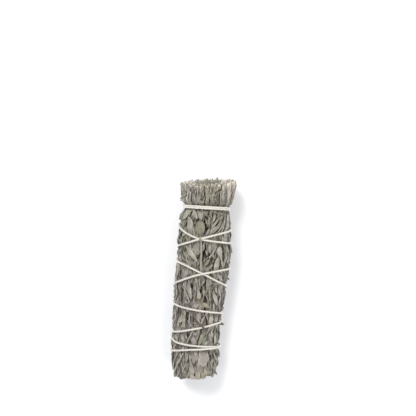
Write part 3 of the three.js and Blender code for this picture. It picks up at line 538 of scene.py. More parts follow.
def lies_under(n):
    """Whether a seen leaf lies partly under one that is listed before it."""
    if not n:
        return False
    first = PLACES_ON_LEAF * n
    own, earlier = COVERED[first:first + PLACES_ON_LEAF], COVERED[:first]
    apart = np.hypot(own[:, None, 0] - earlier[:, 0], MEAN_RADIUS * (own[:, None, 1] - earlier[:, 1]))
    return bool((apart < 0.8 * (own[:, None, 2] + earlier[:, 2])).any())


TRAITS = {"up": 3, "sideways": 3, "look": 3, "half": 1, "thick": 1, "curl": 1, "fold": 1, "stem": 1}


class MiddleLines:
    """The middle lines of a sprig's leaves and stems, with what makes each of them its own shape."""

    def __init__(self):
        self.points, self.edges, self.count = [], [], 0
        self.traits = {name: [] for name in TRAITS}

    def add(self, points, up, half, thick, tint, hue, depth, curl=0.0, fold=0.0, stem=0.0):
        n = len(points)
        ahead = np.gradient(points, axis=0)
        sideways = np.cross(ahead, up)
        sideways /= np.maximum(np.linalg.norm(sideways, axis=1, keepdims=True), 1e-9)
        # look holds the tint, the tone and the painted shade that the depth argument gives.
        look = np.stack([np.full(n, tint), np.full(n, hue), np.broadcast_to(depth, n)], axis=1)
        values = {"up": up, "sideways": sideways, "look": look, "half": half * MM, "thick": thick * MM,
                  "curl": curl if abs(curl) > 0.05 else 0.05, "fold": fold, "stem": stem}
        for name, size in TRAITS.items():
            value = np.asarray(values[name], float)
            self.traits[name].append(np.broadcast_to(value, (n, 3) if size == 3 else n))
        self.points.append(points * MM)
        numbers = np.arange(self.count, self.count + n)
        self.edges.append(np.stack([numbers[:-1], numbers[1:]], axis=1))
        self.count += n

    def line_object(self, name):
        mesh = bpy.data.meshes.new(name)
        mesh.from_pydata(np.concatenate(self.points).tolist(), np.concatenate(self.edges).tolist(), [])
        for trait, size in TRAITS.items():
            attribute = mesh.attributes.new(trait, "FLOAT_VECTOR" if size == 3 else "FLOAT", "POINT")
            values = np.concatenate(self.traits[trait]).astype(np.float32)
            attribute.data.foreach_set("vector" if size == 3 else "value", values.ravel())
        made = bpy.data.objects.new(name, mesh)
        bpy.context.scene.collection.objects.link(made)
        return made


def kept_clear(u, s_at, phi_at, half, below):
    """Moves a leaf sideways out of the crevices. If that isn't enough, it ends before a crevice or passes
    beneath it. It also passes beneath the leaves that are seen."""
    for _ in range(3):
        clear, side = clearance(CREVICES, s_at, phi_at, 0.65 * half)
        if clear.min() < 0:
            phi_at = phi_at + side * min(0.05 - clear.min(), 0.6) / MEAN_RADIUS
    clear, _ = clearance(CREVICES, s_at, phi_at, 0.65 * half)
    entered = u[np.argmax(clear < 0)]
    if clear.min() < 0 and entered > 0.4:
        kept = u * (entered - 0.08)
        s_at, phi_at = np.interp(kept, u, s_at), np.interp(kept, u, phi_at)
    elif clear.min() < 0:
        below = below + UNDER_CREVICE
    covered = clearance(COVERED, s_at, phi_at, 0.5 * half)[0].min() < 0
    if covered:
        below = below + UNDER_SEEN_LEAF
    return s_at, phi_at, below, covered


def blade_thickness(half):
    """Half the thickness of a leaf, from half its width."""
    return LEAF_THICKNESS / 2 * np.minimum(1, half / NARROW_LEAF)


def lay_leaf(lines, s, phi, length, width, slant=0.0, heading=1, bend=0.0, depth=(1.2, 0.4, 0.4),
             depth_at=(0, 0.5, 1), roll=(0.0, 0.0), curl=0.6, fold=0.0, outline=LANCE, tint=0.5, hue=0.5,
             inside=5.0, lift=0.0, stations=7, shy=False, stem=0.0, dark=None, over_string=0.0,
             stray=0.0):
    """A leaf along the skin of the bundle. Its root is at (s, phi), and depth tells how deep its root,
    middle and tip lie. A shy leaf keeps below the leaves that are seen and out of the crevices. Its colour
    gets painted shade as deep as it lies, unless dark gives that painted shade for four places along it: 1
    is darkest and -1 palest. A stray leaf's tip stands out of the bundle."""
    # Its middle line bends evenly from one end to the other.
    u = np.linspace(0, 1, stations)
    turn = slant + bend * (u - 0.5)
    step = length / (stations - 1)
    ahead = np.concatenate([[0], np.cumsum(np.cos((turn[1:] + turn[:-1]) / 2))]) * step
    aside = np.concatenate([[0], np.cumsum(np.sin((turn[1:] + turn[:-1]) / 2))]) * step
    s_at = s + heading * ahead
    phi_at = phi + aside / through(PACKED_RADIUS, s_at)
    half = width / 2 * through(outline, u)
    below = np.interp(u, depth_at, depth)
    if shy:
        s_at, phi_at, below, covered = kept_clear(u, s_at, phi_at, half, below)
        lift = 0.0 if covered else lift

    # Near the string it lies shallower, flatter and held down.
    away = string_distance(s_at, phi_at)
    below = below * (0.45 + 0.55 * smoothstep(away, 0.3, 4.5))
    free = np.maximum(smoothstep(away, 0.6, 3.0), smoothstep(below, 1.0, 2.0))
    if stray:
        free = np.ones(stations)
    rolled = np.linspace(roll[0], roll[1], stations) * free
    r = skin(s_at, phi_at) - below + lift * u ** 3
    top = ceiling(s_at, phi_at) - np.abs(half * np.sin(rolled)) - LEAF_THICKNESS / 2
    r = np.maximum(held_under(r, top), inside)
    if over_string:
        r = np.maximum(r, envelope(s_at, phi_at) + over_string * (1 - smoothstep(away, 0.5, 1.9)))
    r = r + stray * u ** 2
    centre = place(s_at, phi_at, r)
    out = outward(s_at, phi_at)
    side = np.cross(np.gradient(centre, axis=0), out)
    side /= np.linalg.norm(side, axis=1, keepdims=True)
    up = out * np.cos(rolled)[:, None] + side * np.sin(rolled)[:, None]
    thick = half if stem else blade_thickness(half)
    # Painted shade: the deeper the leaf lies under the envelope, the darker its colour is painted.
    shade = np.clip((envelope(s_at, phi_at) - r - 0.45) / 2.5, 0, 1)
    if dark:
        shade = np.interp(u, (0, 0.3, 0.88, 1), dark)
    lines.add(centre, up, half, thick, tint, hue, shade, curl * (1 if curl > 0 else free.min()), fold, stem)


def lay_rod(lines, centres, radius, tint, hue, depth=0.0, stem=1.0, flatness=1.0, up=(0.13, 0.21, 0.97),
            curl=0.0):
    """A stem, or a leaf rolled up tight, along a line of points."""
    # depth is the painted shade of the rod's colour.
    n = len(centres)
    up = np.asarray(up, float) / np.linalg.norm(up)
    radius = np.broadcast_to(radius, n)
    lines.add(centres, np.tile(up, (n, 1)), radius, radius * flatness, tint, hue, depth, curl, 0.0, stem)


# Random draws that several kinds of leaf share.
def spread(chance, reach):
    """A random number, as likely below nought as above it."""
    return chance.uniform(-reach, reach)


def outline_for(chance):
    return [LANCE, LANCE, WEDGE, OVAL][int(chance.integers(4))]


def tone(chance, s):
    """The tone of a leaf: olive towards the cut end, mauve-grey further on."""
    return float(np.clip(chance.normal(through(TONES_ALONG, s), 0.17), 0, TONE_LIMIT))


def tip_tone(chance, middle=0.55):
    """The tone of a leaf on the blunt end."""
    return float(np.clip(chance.normal(middle, 0.2), 0, TIP_TONE_LIMIT))


def across_flare(chance, knots, phi, reach, limit):
    """A value that changes across the splayed part, give or take the reach."""
    return float(np.clip(through(knots, CUT_RADIUS * math.sin(phi)) + spread(chance, reach), 0, limit))


# The outer sprigs, each with the leaves of its solid and many smaller ones.
def seam(k, s):
    """The seam between outer sprigs k - 1 and k."""
    sway = SEAM_SWAY * np.sin(1.9 * np.arange(len(SECTIONS)) + 2.4 * ((k + OUTER_SPRIGS) % OUTER_SPRIGS))
    return (k - 0.5) * SECTOR + np.interp(s, SECTIONS, sway)


def sprig_middle(k, s):
    return (seam(k, s) + seam(k + 1, s)) / 2


def sprig_at(s, phi):
    """The number of the outer sprig that lies there."""
    return min(range(OUTER_SPRIGS), key=lambda k: abs((sprig_middle(k, s) - phi + math.pi) % TURN - math.pi))


def main_leaves(k):
    """The leaves of an outer sprig's solid, drawn in the same order from the same numbers."""
    random = seeded_random(SEED + k)

    def sway(reach):
        return (random() * 2 - 1) * reach

    # The solid draws six numbers for each of its blades at the cut, which aren't repeated here.
    over = k % 2 == 0
    for _ in range(6 * (3 if over else 2)):
        random()
    leaves = []
    count = 10 if over else 4
    for n in range(count):
        upper = over and n % 5 != 3
        share = (n + 0.5 + sway(0.3)) / count
        backwards = random() < 0.3
        s = 45 + share * 50 if backwards else 18.5 + share * 61.5
        reach = 17 + random() * 8 if upper else 14 + random() * 6
        side = [1, -1, 0][n % 3] or sway(1)
        phi = sprig_middle(k, s) + side * SECTOR * (0.2 + random() * 0.12)
        length = reach if backwards else min(reach, tips_end(phi) - s - 0.2 * n)
        width = (4.3 if upper else 3.6) + sway(0.7)
        slant = side * math.radians(5 + random() * 12 if upper else 4)
        depth = UPPER_LEAF_DEPTH + random() * UPPER_LEAF_LAYERING if upper else LOWER_LEAF_DEPTH
        curl = sway(0.35)
        outline = WEDGE if random() < 0.4 else LANCE
        random()  # how uneven the solid leaf's margin is
        leaves.append((s, phi, length, width, slant, -1 if backwards else 1, depth, curl, outline))
    for side in (-1, 1):
        s = 80.7 + sway(2)
        phi = sprig_middle(k, s) + side * SECTOR * 0.22
        length = tips_end(phi) - random() * 2 - s
        width = 4 + sway(0.5)
        slant = -side * math.radians(3 + sway(3))
        depth = UPPER_LEAF_DEPTH + random() * UPPER_LEAF_LAYERING if over else LOWER_LEAF_DEPTH
        curl = sway(0.3)
        outline = WEDGE if random() < 0.8 else LANCE
        random()
        leaves.append((s, phi, length, width, slant, 1, depth, curl, outline))
    return leaves


def packed_middle(k, lines):
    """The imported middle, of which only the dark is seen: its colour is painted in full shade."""
    s = np.array([12, 16, 24, 34, 48, 62, 76, 88, 93.0])
    phi = sprig_middle(k, s)
    lines.add(place(s, phi, envelope(s, phi) - 4.3), outward(s, phi), np.full(9, 2.0), np.full(9, 1.1),
              0.2, 0.4, 1.0)


def broad_leaves(k, lines, chance):
    """The leaves of the solid, thin and curled."""
    for s, phi, length, width, slant, heading, depth, curl, outline in main_leaves(k):
        lay_leaf(lines, s, phi, length, width * 0.9, slant, heading, bend=spread(chance, 0.35),
                 depth=(depth + 1.5, depth + 0.1, depth + 0.3),
                 roll=(spread(chance, 0.4), spread(chance, 0.35)),
                 curl=0.7 + curl + chance.random() * 0.7, fold=chance.random() * 0.25, outline=outline,
                 tint=chance.random(), hue=tone(chance, s), stations=11, shy=True)


def small_leaves(k, lines, chance):
    """Smaller leaves in layers."""
    for depth, count in SMALL_LEAF_LAYERS:
        for n in range(count):
            heading = -1 if chance.random() < 0.3 else 1
            share = (n + 0.5 + spread(chance, 0.5)) / count
            near = depth < 1
            s = 16.2 + share * 74 if heading > 0 else 28 + share * 68
            phi = sprig_middle(k, s) + SECTOR * spread(chance, 0.65 if near else 0.5)
            length = chance.uniform(4.5, 12) if near else chance.uniform(7, 16)
            room = tips_end(phi) - s if heading > 0 else s - 16.5
            lay_leaf(lines, s, phi, max(min(length, room), 4), 0.7 + 2.2 * chance.random() ** 1.6,
                     spread(chance, 0.85 if n % 3 == 0 else 0.45), heading, bend=spread(chance, 1.1),
                     depth=(depth + chance.uniform(0.3, 1.2), depth + spread(chance, 0.4),
                            depth + spread(chance, 0.5)),
                     roll=(spread(chance, 1.1), spread(chance, 1.1)), curl=chance.uniform(-1.3, 2.0),
                     fold=spread(chance, 0.8), outline=outline_for(chance), tint=chance.random(),
                     hue=tone(chance, s), lift=max(0, spread(chance, 1.2)) if near else 0, shy=True)


def leaves_from_the_tie(k, lines, chance):
    """Short leaves that come out from under the tie."""
    count = 7
    for n in range(count):
        phi = sprig_middle(k, 16) + SECTOR * ((n + 0.5) / count - 0.5 + spread(chance, 0.08))
        lay_leaf(lines, chance.uniform(14.8, 15.8), phi, chance.uniform(3.5, 8), chance.uniform(0.7, 2.0),
                 spread(chance, 0.5), 1, bend=spread(chance, 0.8),
                 depth=(0.6, chance.uniform(0.1, 0.7), chance.uniform(0.2, 1.0)),
                 roll=(spread(chance, 0.6), spread(chance, 0.9)), curl=chance.uniform(-1.0, 1.8),
                 fold=spread(chance, 0.5), outline=outline_for(chance), tint=chance.random(),
                 hue=tone(chance, 16), shy=True)


def curled_bits(k, lines, chance):
    """Short curled leaves and broken bits that lie across the others."""
    count = 24
    for n in range(count):
        s = 16.4 + (n + chance.random()) / count * 80
        near = chance.uniform(0.0, 0.7)
        lay_leaf(lines, s, sprig_middle(k, s) + SECTOR * spread(chance, 0.6), chance.uniform(1.4, 3.8),
                 chance.uniform(0.5, 1.3), spread(chance, 1.3), 1 if n % 2 else -1,
                 bend=spread(chance, 1.6), depth=(near + 0.6, near, near + spread(chance, 0.3)),
                 roll=(spread(chance, 1.0), spread(chance, 1.0)), curl=chance.uniform(-1.4, 2.0),
                 fold=spread(chance, 0.8), outline=outline_for(chance), tint=chance.random(),
                 hue=tone(chance, s), lift=chance.uniform(0.0, 0.8), shy=True)


def narrow_strands(k, lines, chance):
    """Narrow strands that lie among the leaves."""
    for _ in range(26):
        s = chance.uniform(15, 88)
        phi = sprig_middle(k, s) + SECTOR * spread(chance, 0.6)
        length = min(chance.uniform(5, 14), tips_end(phi) - s)
        near = chance.uniform(0.1, 1.2)
        lay_leaf(lines, s, phi, length, chance.uniform(0.35, 0.75), spread(chance, 0.45), 1,
                 bend=spread(chance, 0.7), depth=(near + 0.6, near, near + 0.3),
                 roll=(spread(chance, 0.8), spread(chance, 0.8)), curl=chance.uniform(0.2, 2.0),
                 outline=STRIP, tint=chance.random(), hue=tone(chance, s), shy=True)


def thin_stems(k, lines, chance):
    """Thin stems that show between the leaves."""
    for _ in range(6):
        s = chance.uniform(17, 84)
        lay_leaf(lines, s, sprig_middle(k, s) + SECTOR * spread(chance, 0.5), chance.uniform(8, 16),
                 chance.uniform(0.45, 0.85), spread(chance, 0.3), 1, bend=spread(chance, 0.5),
                 depth=(1.8, chance.uniform(0.2, 1.2), 1.8), outline=STALK, tint=chance.random(),
                 hue=chance.random(), stations=9, shy=True, stem=1.0)


def splayed_strands(k, lines, chance):
    """The strands between the cut and the tie, which start under the string and end at the cut."""
    for layer, (depth, count) in enumerate(FLARE_LAYERS):
        for n in range(count):
            aside = (n + 0.5 * (layer % 2)) / count - 0.45
            phi = sprig_middle(k, 10) + SECTOR * (aside + spread(chance, 0.07))
            cut = float(cut_at(phi, 13.2 - depth)) + spread(chance, 0.5) + (0.3 if layer else 0)
            short = chance.uniform(0.5, 7) if layer < 2 and chance.random() < 0.3 else 0
            start = chance.uniform(15.6, 17.5)
            round_one = chance.random() < 0.25
            width = 0.3 + (0.25 if round_one else 0.65) * chance.random() ** 1.5 + 0.08 * layer
            lay_leaf(lines, start, phi, start - cut - short, width,
                     spread(chance, 0.22 if n % 3 else 0.45), -1, bend=spread(chance, 0.5),
                     depth=(depth + 1.9, depth + spread(chance, 0.35), depth + spread(chance, 0.4)),
                     depth_at=(0, 0.16, 1), roll=(spread(chance, 1.2), spread(chance, 1.4)),
                     curl=chance.uniform(-1.2, 2.2), fold=chance.random() * 0.3,
                     outline=STALK if round_one else STRIP,
                     tint=across_flare(chance, FLARE_LIGHTS, phi, 0.6, 1),
                     hue=across_flare(chance, FLARE_TONES, phi, 0.25, TONE_LIMIT),
                     lift=max(0, spread(chance, 0.5)), stations=9 if layer < 3 else 6, shy=True,
                     stem=float(round_one),
                     dark=FLARE_PAINTED_SHADE[min(layer, 2)] + (float(chance.choice(CUT_END_PAINTED_LIGHT_AND_SHADE)),))


def bits_among_the_strands(k, lines, chance):
    """Small leaves and broken bits caught among the splayed strands."""
    for n in range(14):
        s = chance.uniform(5.5, 14)
        phi = sprig_middle(k, 10) + SECTOR * spread(chance, 0.5)
        near = chance.uniform(-0.5, 0.4)
        lay_leaf(lines, s, phi, chance.uniform(1.2, 3.6), chance.uniform(0.4, 1.1), spread(chance, 1.4),
                 1 if n % 3 == 0 else -1, bend=spread(chance, 1.4),
                 depth=(near + 0.4, near, near + spread(chance, 0.3)),
                 roll=(spread(chance, 1.0), spread(chance, 1.0)), curl=chance.uniform(-1.3, 2.0),
                 fold=spread(chance, 0.6), outline=outline_for(chance), tint=chance.random(),
                 lift=max(0, spread(chance, 0.6)), shy=True,
                 hue=across_flare(chance, FLARE_TONES, phi, 0.2, 0.8))


def closing_leaves(k, lines, chance):
    """Leaves that close over the tips."""
    for n in range(14):
        s = chance.uniform(82, 91)
        phi = sprig_middle(k, s) + SECTOR * spread(chance, 0.6)
        depth = chance.uniform(0.2, 3.4)
        lay_leaf(lines, s, phi, tips_end(phi, 11 - depth) - s - chance.random() * 1.2,
                 chance.uniform(1.6, 3.6), spread(chance, 0.16), 1, bend=spread(chance, 0.4),
                 depth=(depth + 1.4, depth + spread(chance, 0.2), depth + chance.uniform(0, 0.6)),
                 roll=(spread(chance, 0.8), spread(chance, 0.9)), curl=chance.uniform(0, 1.6),
                 fold=chance.random() * 0.3, outline=[WEDGE, OVAL][n % 2], tint=chance.uniform(0.3, 1.0),
                 hue=tone(chance, s), inside=3.0, shy=True)


def folded_tips(k, lines, chance):
    """Leaf tips that are folded in across the blunt end."""
    t = np.linspace(0, 1, 8)
    for n in range(7):
        phi = sprig_middle(k, 95) + SECTOR * spread(chance, 0.5)
        end = tips_end(phi, 9) - chance.uniform(0.2, 1.4)
        reach = chance.uniform(1.5, 7.5)
        s = end - 7 * (1 - smoothstep(t, 0, 0.6)) - chance.uniform(0, 1.5) * t ** 2
        r = 10.2 - chance.uniform(0, 1.5) - reach * smoothstep(t, 0.35, 1.1)
        centre = place(s, phi + spread(chance, 0.9) * t ** 2, r)
        centre[:, 1:] += smoothstep(t, 0.35, 1.0)[:, None] * chance.uniform(-2.2, 2.2, 2)
        ahead = np.gradient(centre, axis=0)
        up = np.cross(np.cross(ahead, outward(s, np.full(len(t), phi))), ahead)
        up /= np.linalg.norm(up, axis=1, keepdims=True)
        half = chance.uniform(0.6, 1.5) * through(LANCE if n % 2 else OVAL, t)
        lines.add(centre, up, half, blade_thickness(half), chance.random(), tip_tone(chance), 0.0,
                  chance.uniform(-1.2, 1.5), 0.1)


def bits_on_the_blunt_end(k, lines, chance):
    """Bits of leaf that lie flat on the blunt end."""
    for n in range(4):
        phi = sprig_middle(k, 95) + SECTOR * spread(chance, 0.6)
        r = chance.uniform(2, 9)
        turn = chance.uniform(0, TURN)
        t = np.linspace(-0.5, 0.5, 5) * chance.uniform(1.5, 4.0)
        centre = place(np.full(5, tips_end(phi, r) - chance.uniform(0.3, 1.2)), phi, r)
        centre = centre + t[:, None] * np.array([spread(chance, 0.35), math.cos(turn), math.sin(turn)])
        half = chance.uniform(0.25, 0.8) * through(OVAL if n % 2 else LANCE, np.linspace(0, 1, 5))
        lines.add(centre, np.tile([1.0, 0.0, 0.0], (5, 1)), half, blade_thickness(half), chance.random(),
                  tip_tone(chance, 0.5), 0.1, chance.uniform(-1, 1.5))


def leaves_beside_the_tie(k, lines, chance):
    """Broader leaves that lie deeper, beside the tie."""
    count = 9
    for n in range(count):
        phi = sprig_middle(k, 18) + SECTOR * ((n + 0.5) / count - 0.5 + spread(chance, 0.06))
        depth = 1.0 + 0.5 * (n % 3)
        lay_leaf(lines, chance.uniform(15.6, 17.5), phi, chance.uniform(6, 10), chance.uniform(1.6, 2.8),
                 spread(chance, 0.3), 1, bend=spread(chance, 0.6),
                 depth=(depth + 0.4, depth, depth + spread(chance, 0.4)),
                 roll=(spread(chance, 0.5), spread(chance, 0.5)), curl=chance.uniform(-0.6, 1.4),
                 fold=spread(chance, 0.4), outline=outline_for(chance), tint=chance.random(),
                 hue=tone(chance, 18), shy=True)


def outer_sprig(k, lines, chance):
    packed_middle(k, lines)
    for lay in (
        broad_leaves, small_leaves, leaves_from_the_tie, curled_bits, narrow_strands, thin_stems,
        splayed_strands, bits_among_the_strands, closing_leaves, folded_tips, bits_on_the_blunt_end,
        leaves_beside_the_tie,
    ):
        lay(k, lines, chance)


# The sprigs inside, of which stems and strips show at the cut and leaf tips at the far end.
def inner_line(s, y, z):
    """Points inside the bundle, at one distance from its axis."""
    points = place(s, 0, 0)
    points[:, 1] += y
    points[:, 2] += z
    return points


def inner_cut(y, z):
    return CUT_MIDDLE + CUT_RISE * z + CUT_SLEW * y


def ends_at_the_cut(lines, y, z, chance):
    """Cut stems, and strips of leaf between them."""
    count = 58
    for n in range(count):
        angle = 2.4 * n + chance.uniform(-0.5, 0.5)
        away = INNER_REACH * 1.5 * math.sqrt((n + 0.5) / count)
        dy, dz = away * math.sin(angle), away * math.cos(angle)
        cut = inner_cut(y + dy, z + dz) + chance.uniform(-0.4, 0.8)
        s = cut + (12 - cut) * np.linspace(0, 1, 6) ** 1.6
        bow = np.sin(np.linspace(0, 3, 6)) * chance.uniform(-0.15, 0.15)
        turn = chance.uniform(0, TURN)
        round_one = n % 3 == 0
        # Painted shade grows from the cut inwards; most ends are pale at the cut, partly painted light.
        lay_rod(lines, inner_line(s, y + dy + bow, z + dz), chance.uniform(0.22, 0.38 if round_one else 0.62),
                chance.uniform(0, 1), chance.uniform(0.0, 0.6),
                np.interp(s - cut, (0, 0.8, 2.2, 5), (chance.choice([-0.7, -0.4, 0.0]), -0.2, 0.6, 0.95)),
                stem=float(round_one), flatness=1.0 if round_one else 0.35,
                up=(0, math.cos(turn), math.sin(turn)), curl=0.0 if round_one else chance.uniform(0.2, 2.2))


def tips_inside(lines, y, z, chance):
    """Leaf tips in the middle of the blunt end."""
    count = 20
    t = np.linspace(0, 1, 7)
    lean = t ** 3
    for n in range(count):
        angle, away = 2.4 * n, INNER_REACH * 1.3 * math.sqrt((n + 0.5) / count)
        dy, dz = away * math.sin(angle), away * math.cos(angle)
        end = LENGTH - 0.3 - TIP_SLANT * (TIP_SPREAD + y + dy) - 0.02 * ((y + dy) ** 2 + (z + dz) ** 2)
        s = np.linspace(chance.uniform(85, 90), end - chance.random() * 1.5, len(t))
        turn = chance.uniform(0, TURN)
        half = chance.uniform(0.7, 1.6) * through(WEDGE if n % 2 else OVAL, t)
        centre = inner_line(s, y + dy + lean * chance.uniform(-2, 2), z + dz + lean * chance.uniform(-2, 2))
        up = np.tile([0, math.cos(turn), math.sin(turn)], (len(t), 1))
        lines.add(centre, up, half, blade_thickness(half), chance.random(), tip_tone(chance), 0.1,
                  chance.uniform(0.2, 1.5), 0.1)


def inner_sprig(lines, y, z, chance):
    s = np.array([inner_cut(y, z) + 2.0, 11, 25, 45, 65, 85, 94.0])
    # The rod's colour is painted in full shade, a little less near the cut.
    lay_rod(lines, inner_line(s, y, z), np.array([2.2, 1.9, 1.85, 1.85, 1.85, 1.85, 1.2]), 0.2, 0.4,
            np.array([0.3, 1, 1, 1, 1, 1, 1.0]), stem=0.0)
    ends_at_the_cut(lines, y, z, chance)
    tips_inside(lines, y, z, chance)


# The leaves that can be told apart in the photograph, each in the sprig that it lies on.
def seen_leaves(sprigs, chance):
    """The leaves on the upper side."""
    for n, (along, across, tip_along, tip_across, width, outline, hue, tint) in enumerate(SEEN_LEAVES):
        s, phi, tip_s, tip_phi = seen_line(along, across, tip_along, tip_across)
        aside = (tip_phi - phi) * float(through(PACKED_RADIUS, (s + tip_s) / 2))
        stalk = outline is STALK
        over = (0.25 if stalk else 0.0) - (0.4 if lies_under(n) else 0.0)
        lay_leaf(sprigs[sprig_at(s, phi)], s, phi, math.hypot(tip_s - s, aside), width,
                 math.atan2(aside, abs(tip_s - s)), 1 if tip_s > s else -1,
                 bend=chance.uniform(-0.25, 0.25), depth=(0.55 - over, 0.1 - over, 0.3 - over),
                 roll=tuple(chance.uniform(-0.22, 0.22, 2)), curl=chance.uniform(0.3, 0.8),
                 fold=chance.uniform(0.05, 0.25), outline=outline, tint=tint, hue=hue, stations=13, lift=0.2,
                 stem=float(stalk))


def leaves_over_the_string(sprigs):
    for along, across, tip_along, tip_across, width, outline, hue, tint, dark, out in LEAVES_OVER_STRING:
        s, phi, tip_s, tip_phi = seen_line(along, across, tip_along, tip_across)
        aside = (tip_phi - phi) * float(through(PACKED_RADIUS, s))
        lay_leaf(sprigs[sprig_at(s, phi)], s, phi, math.hypot(tip_s - s, aside), width,
                 math.atan2(aside, tip_s - s), depth=(0.2, 0.0, 0.2), curl=0.3, outline=outline, tint=tint,
                 hue=hue, stations=15, dark=(dark, dark, dark, dark), over_string=out)


def stray_leaves(sprigs):
    for along, degrees, reach, out, width, hue, tint in STRAY_LEAVES:
        phi = math.radians(degrees)
        # Each gets painted shade, most at its root among the other leaves.
        lay_leaf(sprigs[sprig_at(along, phi)], along, phi, abs(reach), width, 0.0, 1 if reach > 0 else -1,
                 depth=(0.6, 0.1, 0.0), roll=(0.5, 1.2), curl=0.4, tint=tint, hue=hue,
                 dark=(0.5, 0.3, 0.2, 0.2), stray=out)


# Materials and node trees.
def linear(hex_colour):
    """An sRGB hex colour as linear RGBA."""
    channels = [int(hex_colour[i:i + 2], 16) / 255 for i in (1, 3, 5)]
    return [c / 12.92 if c <= 0.04045 else ((c + 0.055) / 1.055) ** 2.4 for c in channels] + [1.0]


def add_node(tree, kind, settings=None, inputs=None):
    """Adds a node with its settings and inputs. An input is a value, or the socket that it is linked from."""
    node = tree.nodes.new(kind)
    for name, value in (settings or {}).items():
        if name == "stops":
            while len(node.color_ramp.elements) < len(value):
                node.color_ramp.elements.new(0.5)
            for element, (at, colour) in zip(node.color_ramp.elements, value):
                element.position = at
                element.color = linear(colour)
        else:
            setattr(node, name, value)
    for name, value in (inputs or {}).items():
        if isinstance(value, bpy.types.NodeSocket):
            tree.links.new(value, node.inputs[name])
        else:
            node.inputs[name].default_value = value
    return node


def bare_material(name):
    material = bpy.data.materials.new(name)
    material.use_nodes = True
    material.node_tree.nodes.clear()
    return material, material.node_tree


def shaded(tree, colour, effects):
    """A colour made darker or lighter by each effect: a value, two marks on it, and the factor at each."""
    for value, low, high, at_low, at_high in effects:
        factor = add_node(tree, "ShaderNodeMapRange", inputs={
            0: value, 1: low, 2: high, 3: at_low, 4: at_high}).outputs[0]
        colour = add_node(tree, "ShaderNodeMix", {"data_type": "RGBA", "blend_type": "MULTIPLY"}, {
            0: 1.0, 6: colour, 7: factor}).outputs[2]
    return colour


